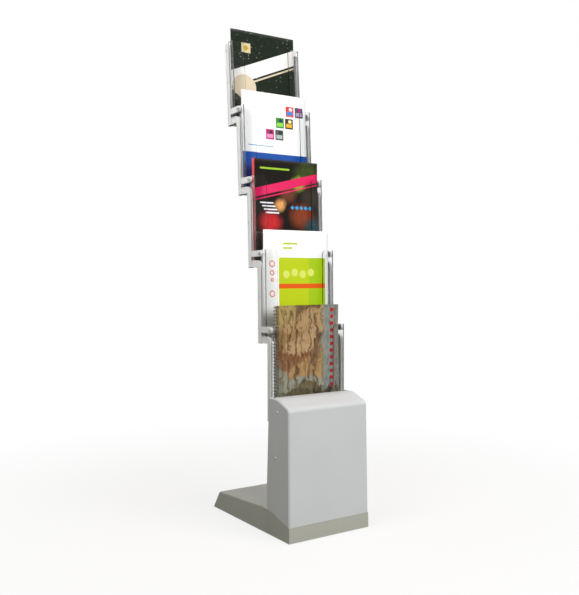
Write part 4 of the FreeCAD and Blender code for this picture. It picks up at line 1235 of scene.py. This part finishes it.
class RACK_OT_periodicals(bpy.types.Operator):
    """Make the periodicals, with their printed covers and their pages"""
    bl_idname = "rack.periodicals"
    bl_label = "Periodicals"

    def execute(self, context):
        sizes = context.scene.rack_periodicals
        stock = page_stock("page_stock", ink(0xF3F0E8)[:3])
        slots = {part["node"]: part["material_slot"] for part in frame["record"]["subparts"]}
        for tier in range(1, TIERS + 1):
            turn = lean(tier)
            node = "periodical_%d" % tier
            points = upright(node, turn)
            low, high = points.min(0), points.max(0)
            material = PRINTS[tier - 1]()
            if tier == 1:
                self.wire_bound(low, high, turn, material, stock, node, slots[node], sizes)
                continue
            glued = tier in GLUED_TIERS
            bound_cover("cover_%d" % tier, low, high, glued, turn, material, node,
                        sizes)
            piece("pages_%d" % tier, page_block(low, high, glued, sizes), turn, stock, node)
        return {"FINISHED"}

    def wire_bound(self, low, high, turn, material, stock, node, slot, sizes):
        """Two card covers and a block of pages, punched for the comb."""
        rings = upright("wire_rings", turn)
        holes = loop_heights(rings)
        inner = rings[:, 0].max() + sizes.hole_play
        reach = (inner - sizes.hole_reach, inner)
        card = sizes.cover
        front = punched_block(low, high, low[1], low[1] + card, 0.0, holes, reach, sizes)
        rear = punched_block(low, high, high[1] - card, high[1], 0.0, holes, reach, sizes)
        cover = piece("cover_1", joined([front, rear]), turn, material, node, (node,))
        map_pages(cover, turn, low, high)
        inset = PAGES_INSET * card
        pages = punched_block(low, high, low[1] + inset, high[1] - inset, 2 * sizes.creep,
                              holes, reach, sizes)
        piece("pages_1", pages, turn, stock, node)


class RACK_OT_comb(bpy.types.Operator):
    """Make the twin-wire comb of the lowest periodical"""
    bl_idname = "rack.comb"
    bl_label = "Wire comb"

    def execute(self, context):
        sizes = context.scene.rack_periodicals
        turn = lean(1)
        rings = upright("wire_rings", turn)
        low, high = rings.min(0), rings.max(0)
        radius = (high[0] - low[0]) / 2 - sizes.wire / 2
        path, outward = comb_path(loop_heights(rings), (low + high) / 2, radius, sizes)
        wire = plated("comb_wire", context.scene.rack_metal.wire_colour, roughness=0.3)
        piece("wire_comb", tube(path, outward, sizes.wire / 2, WIRE_SIDES), turn, wire,
              "periodical_1", ("wire_rings",))
        return {"FINISHED"}


# Each lamp's place, the point it faces, its size and its colour.
LAMPS = {"key": ((1.1, -3.8, 2.1), (0.0, 0.0, 0.5), (3.0, 2.4), (0.965, 0.985, 1.0)),
         "top": ((0.1, -0.4, 3.6), (0.0, 0.0, 0.4), (1.6, 1.6), (1.0, 0.62, 0.34)),
         "side": ((-1.1, -0.4, 1.9), (0.0, 0.0, 1.0), (0.9, 0.9), (0.95, 0.98, 1.0))}


def soft_light(name, power, place, target, size, rgb):
    """Area light that faces a point, seen neither by the camera nor in or through clear sheet."""
    data = bpy.data.lights.new(name, "AREA")
    data.shape = "RECTANGLE"
    data.size, data.size_y = size
    data.energy = power
    data.color = rgb
    lamp = bpy.data.objects.new(name, data)
    lamp.visible_glossy = False
    lamp.visible_camera = False
    lamp.visible_transmission = False
    lamp.location = place
    away = np.array(place, float) - np.array(target, float)
    flat = math.hypot(away[0], away[1])
    lamp.rotation_euler = (math.atan2(flat, away[2]), 0.0, math.atan2(away[1], away[0])
                           + math.pi / 2)
    bpy.context.scene.collection.objects.link(lamp)


class RACK_OT_stage(bpy.types.Operator):
    """Set the floor, the even light, the three lamps and the camera"""
    bl_idname = "rack.stage"
    bl_label = "Stage"

    def execute(self, context):
        stage = context.scene.rack_stage
        self.floor(stage)
        self.sky(context.scene, stage)
        for name, lamp in LAMPS.items():
            soft_light(name, getattr(stage, name), *lamp)
        self.camera(context.scene, stage)
        context.scene.view_settings.view_transform = "Standard"
        return {"FINISHED"}

    def floor(self, stage):
        """Plain pale floor that shows paler to the eye than the light it sends up."""
        half = stage.floor_span / 2
        corners = np.array([[-half, -half, 0.0], [half, -half, 0.0], [half, half, 0.0],
                            [-half, half, 0.0]])
        mesh = bpy.data.meshes.new("floor")
        mesh.from_pydata(corners.tolist(), [], [[0, 1, 2, 3]])
        material, tree, place = new_material("floor_paint")
        seen = add(tree, "BsdfDiffuse", Color=solid(stage.floor_colour))
        sent = add(tree, "BsdfDiffuse", Color=solid(stage.floor_bounce))
        glow = add(tree, "Emission", Color=WHITE, Strength=1.0)
        white = ramped(tree, vectors(tree, "LENGTH", place), stage.floor_dull, stage.floor_fade,
                       stage.floor_near, 1.0, smooth=True)
        both = blended(tree, first_sight(tree)[0], sent, blended(tree, white, seen, glow))
        add(tree, "OutputMaterial", Surface=both.outputs["Shader"])
        mesh.materials.append(material)
        thing = bpy.data.objects.new("floor", mesh)
        bpy.context.scene.collection.objects.link(thing)

    def sky(self, scene, stage):
        """Even light all round, dim to the front right in reflections so that dark print stays
        dark, and a white background to the eye and through clear sheet."""
        world = bpy.data.worlds.new("sky")
        world.use_nodes = True
        tree = world.node_tree
        tree.nodes.clear()
        even = add(tree, "Background", Color=solid(stage.sky_colour), Strength=stage.sky)
        white = add(tree, "Background", Color=WHITE, Strength=1.0)
        facing = vectors(tree, "DOT_PRODUCT", add(tree, "TexCoord").outputs["Generated"],
                         stage.bright_side)
        bright = ramped(tree, facing, stage.dim_from, stage.gleam_from, stage.dim, stage.gleam,
                        smooth=True)
        shown = add(tree, "Background", Color=solid(stage.gleam_colour), Strength=bright)
        direct, glossy = first_sight(tree)
        both = blended(tree, direct, blended(tree, glossy, even, shown), white)
        add(tree, "OutputWorld", Surface=both.outputs["Shader"])
        scene.world = world

    def camera(self, scene, stage):
        """Camera at its place: turned about Z by the yaw, about its X by the pitch and about
        its line of sight by the roll."""
        data = bpy.data.cameras.new("camera")
        data.lens = stage.focal
        data.clip_start = 0.05
        camera = bpy.data.objects.new("camera", data)
        camera.location = stage.eye
        sight = (Matrix.Rotation(-stage.yaw, 3, "Z")
                 @ Matrix.Rotation(math.pi / 2 + stage.pitch, 3, "X")
                 @ Matrix.Rotation(stage.roll, 3, "Z"))
        camera.rotation_euler = sight.to_euler("XYZ")
        scene.collection.objects.link(camera)
        scene.camera = camera


class RACK_PT_panel(bpy.types.Panel):
    """Sidebar panel with the rack's settings and steps"""
    bl_label = "Periodical rack"
    bl_idname = "RACK_PT_panel"
    bl_space_type = "VIEW_3D"
    bl_region_type = "UI"
    bl_category = "Rack"

    def draw(self, context):
        for operator in OPERATORS:
            self.layout.operator(operator.bl_idname)
        for name in SETTINGS:
            box = self.layout.box()
            settings = getattr(context.scene, name)
            for prop in settings.__annotations__:
                box.prop(settings, prop)


SETTINGS = {"rack_shell": ShellFinish, "rack_metal": MetalFinish, "rack_plastic": PlasticFinish,
            "rack_fasteners": FastenerSizes, "rack_periodicals": PeriodicalSizes,
            "rack_stage": StageSettings}
OPERATORS = (RACK_OT_groups, RACK_OT_base, RACK_OT_rails, RACK_OT_pockets, RACK_OT_fasteners,
             RACK_OT_periodicals, RACK_OT_comb, RACK_OT_stage)


def register():
    """Registers the settings, operators and panel."""
    for name, group in SETTINGS.items():
        bpy.utils.register_class(group)
        setattr(bpy.types.Scene, name, bpy.props.PointerProperty(type=group))
    for operator in OPERATORS:
        bpy.utils.register_class(operator)
    bpy.utils.register_class(RACK_PT_panel)


def unregister():
    """Takes them back."""
    bpy.utils.unregister_class(RACK_PT_panel)
    for operator in reversed(OPERATORS):
        bpy.utils.unregister_class(operator)
    for name, group in SETTINGS.items():
        delattr(bpy.types.Scene, name)
        bpy.utils.unregister_class(group)


def main():
    """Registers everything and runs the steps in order."""
    register()
    for operator in OPERATORS:
        space, name = operator.bl_idname.split(".")
        getattr(getattr(bpy.ops, space), name)()


if __name__ == "__main__":
    main()
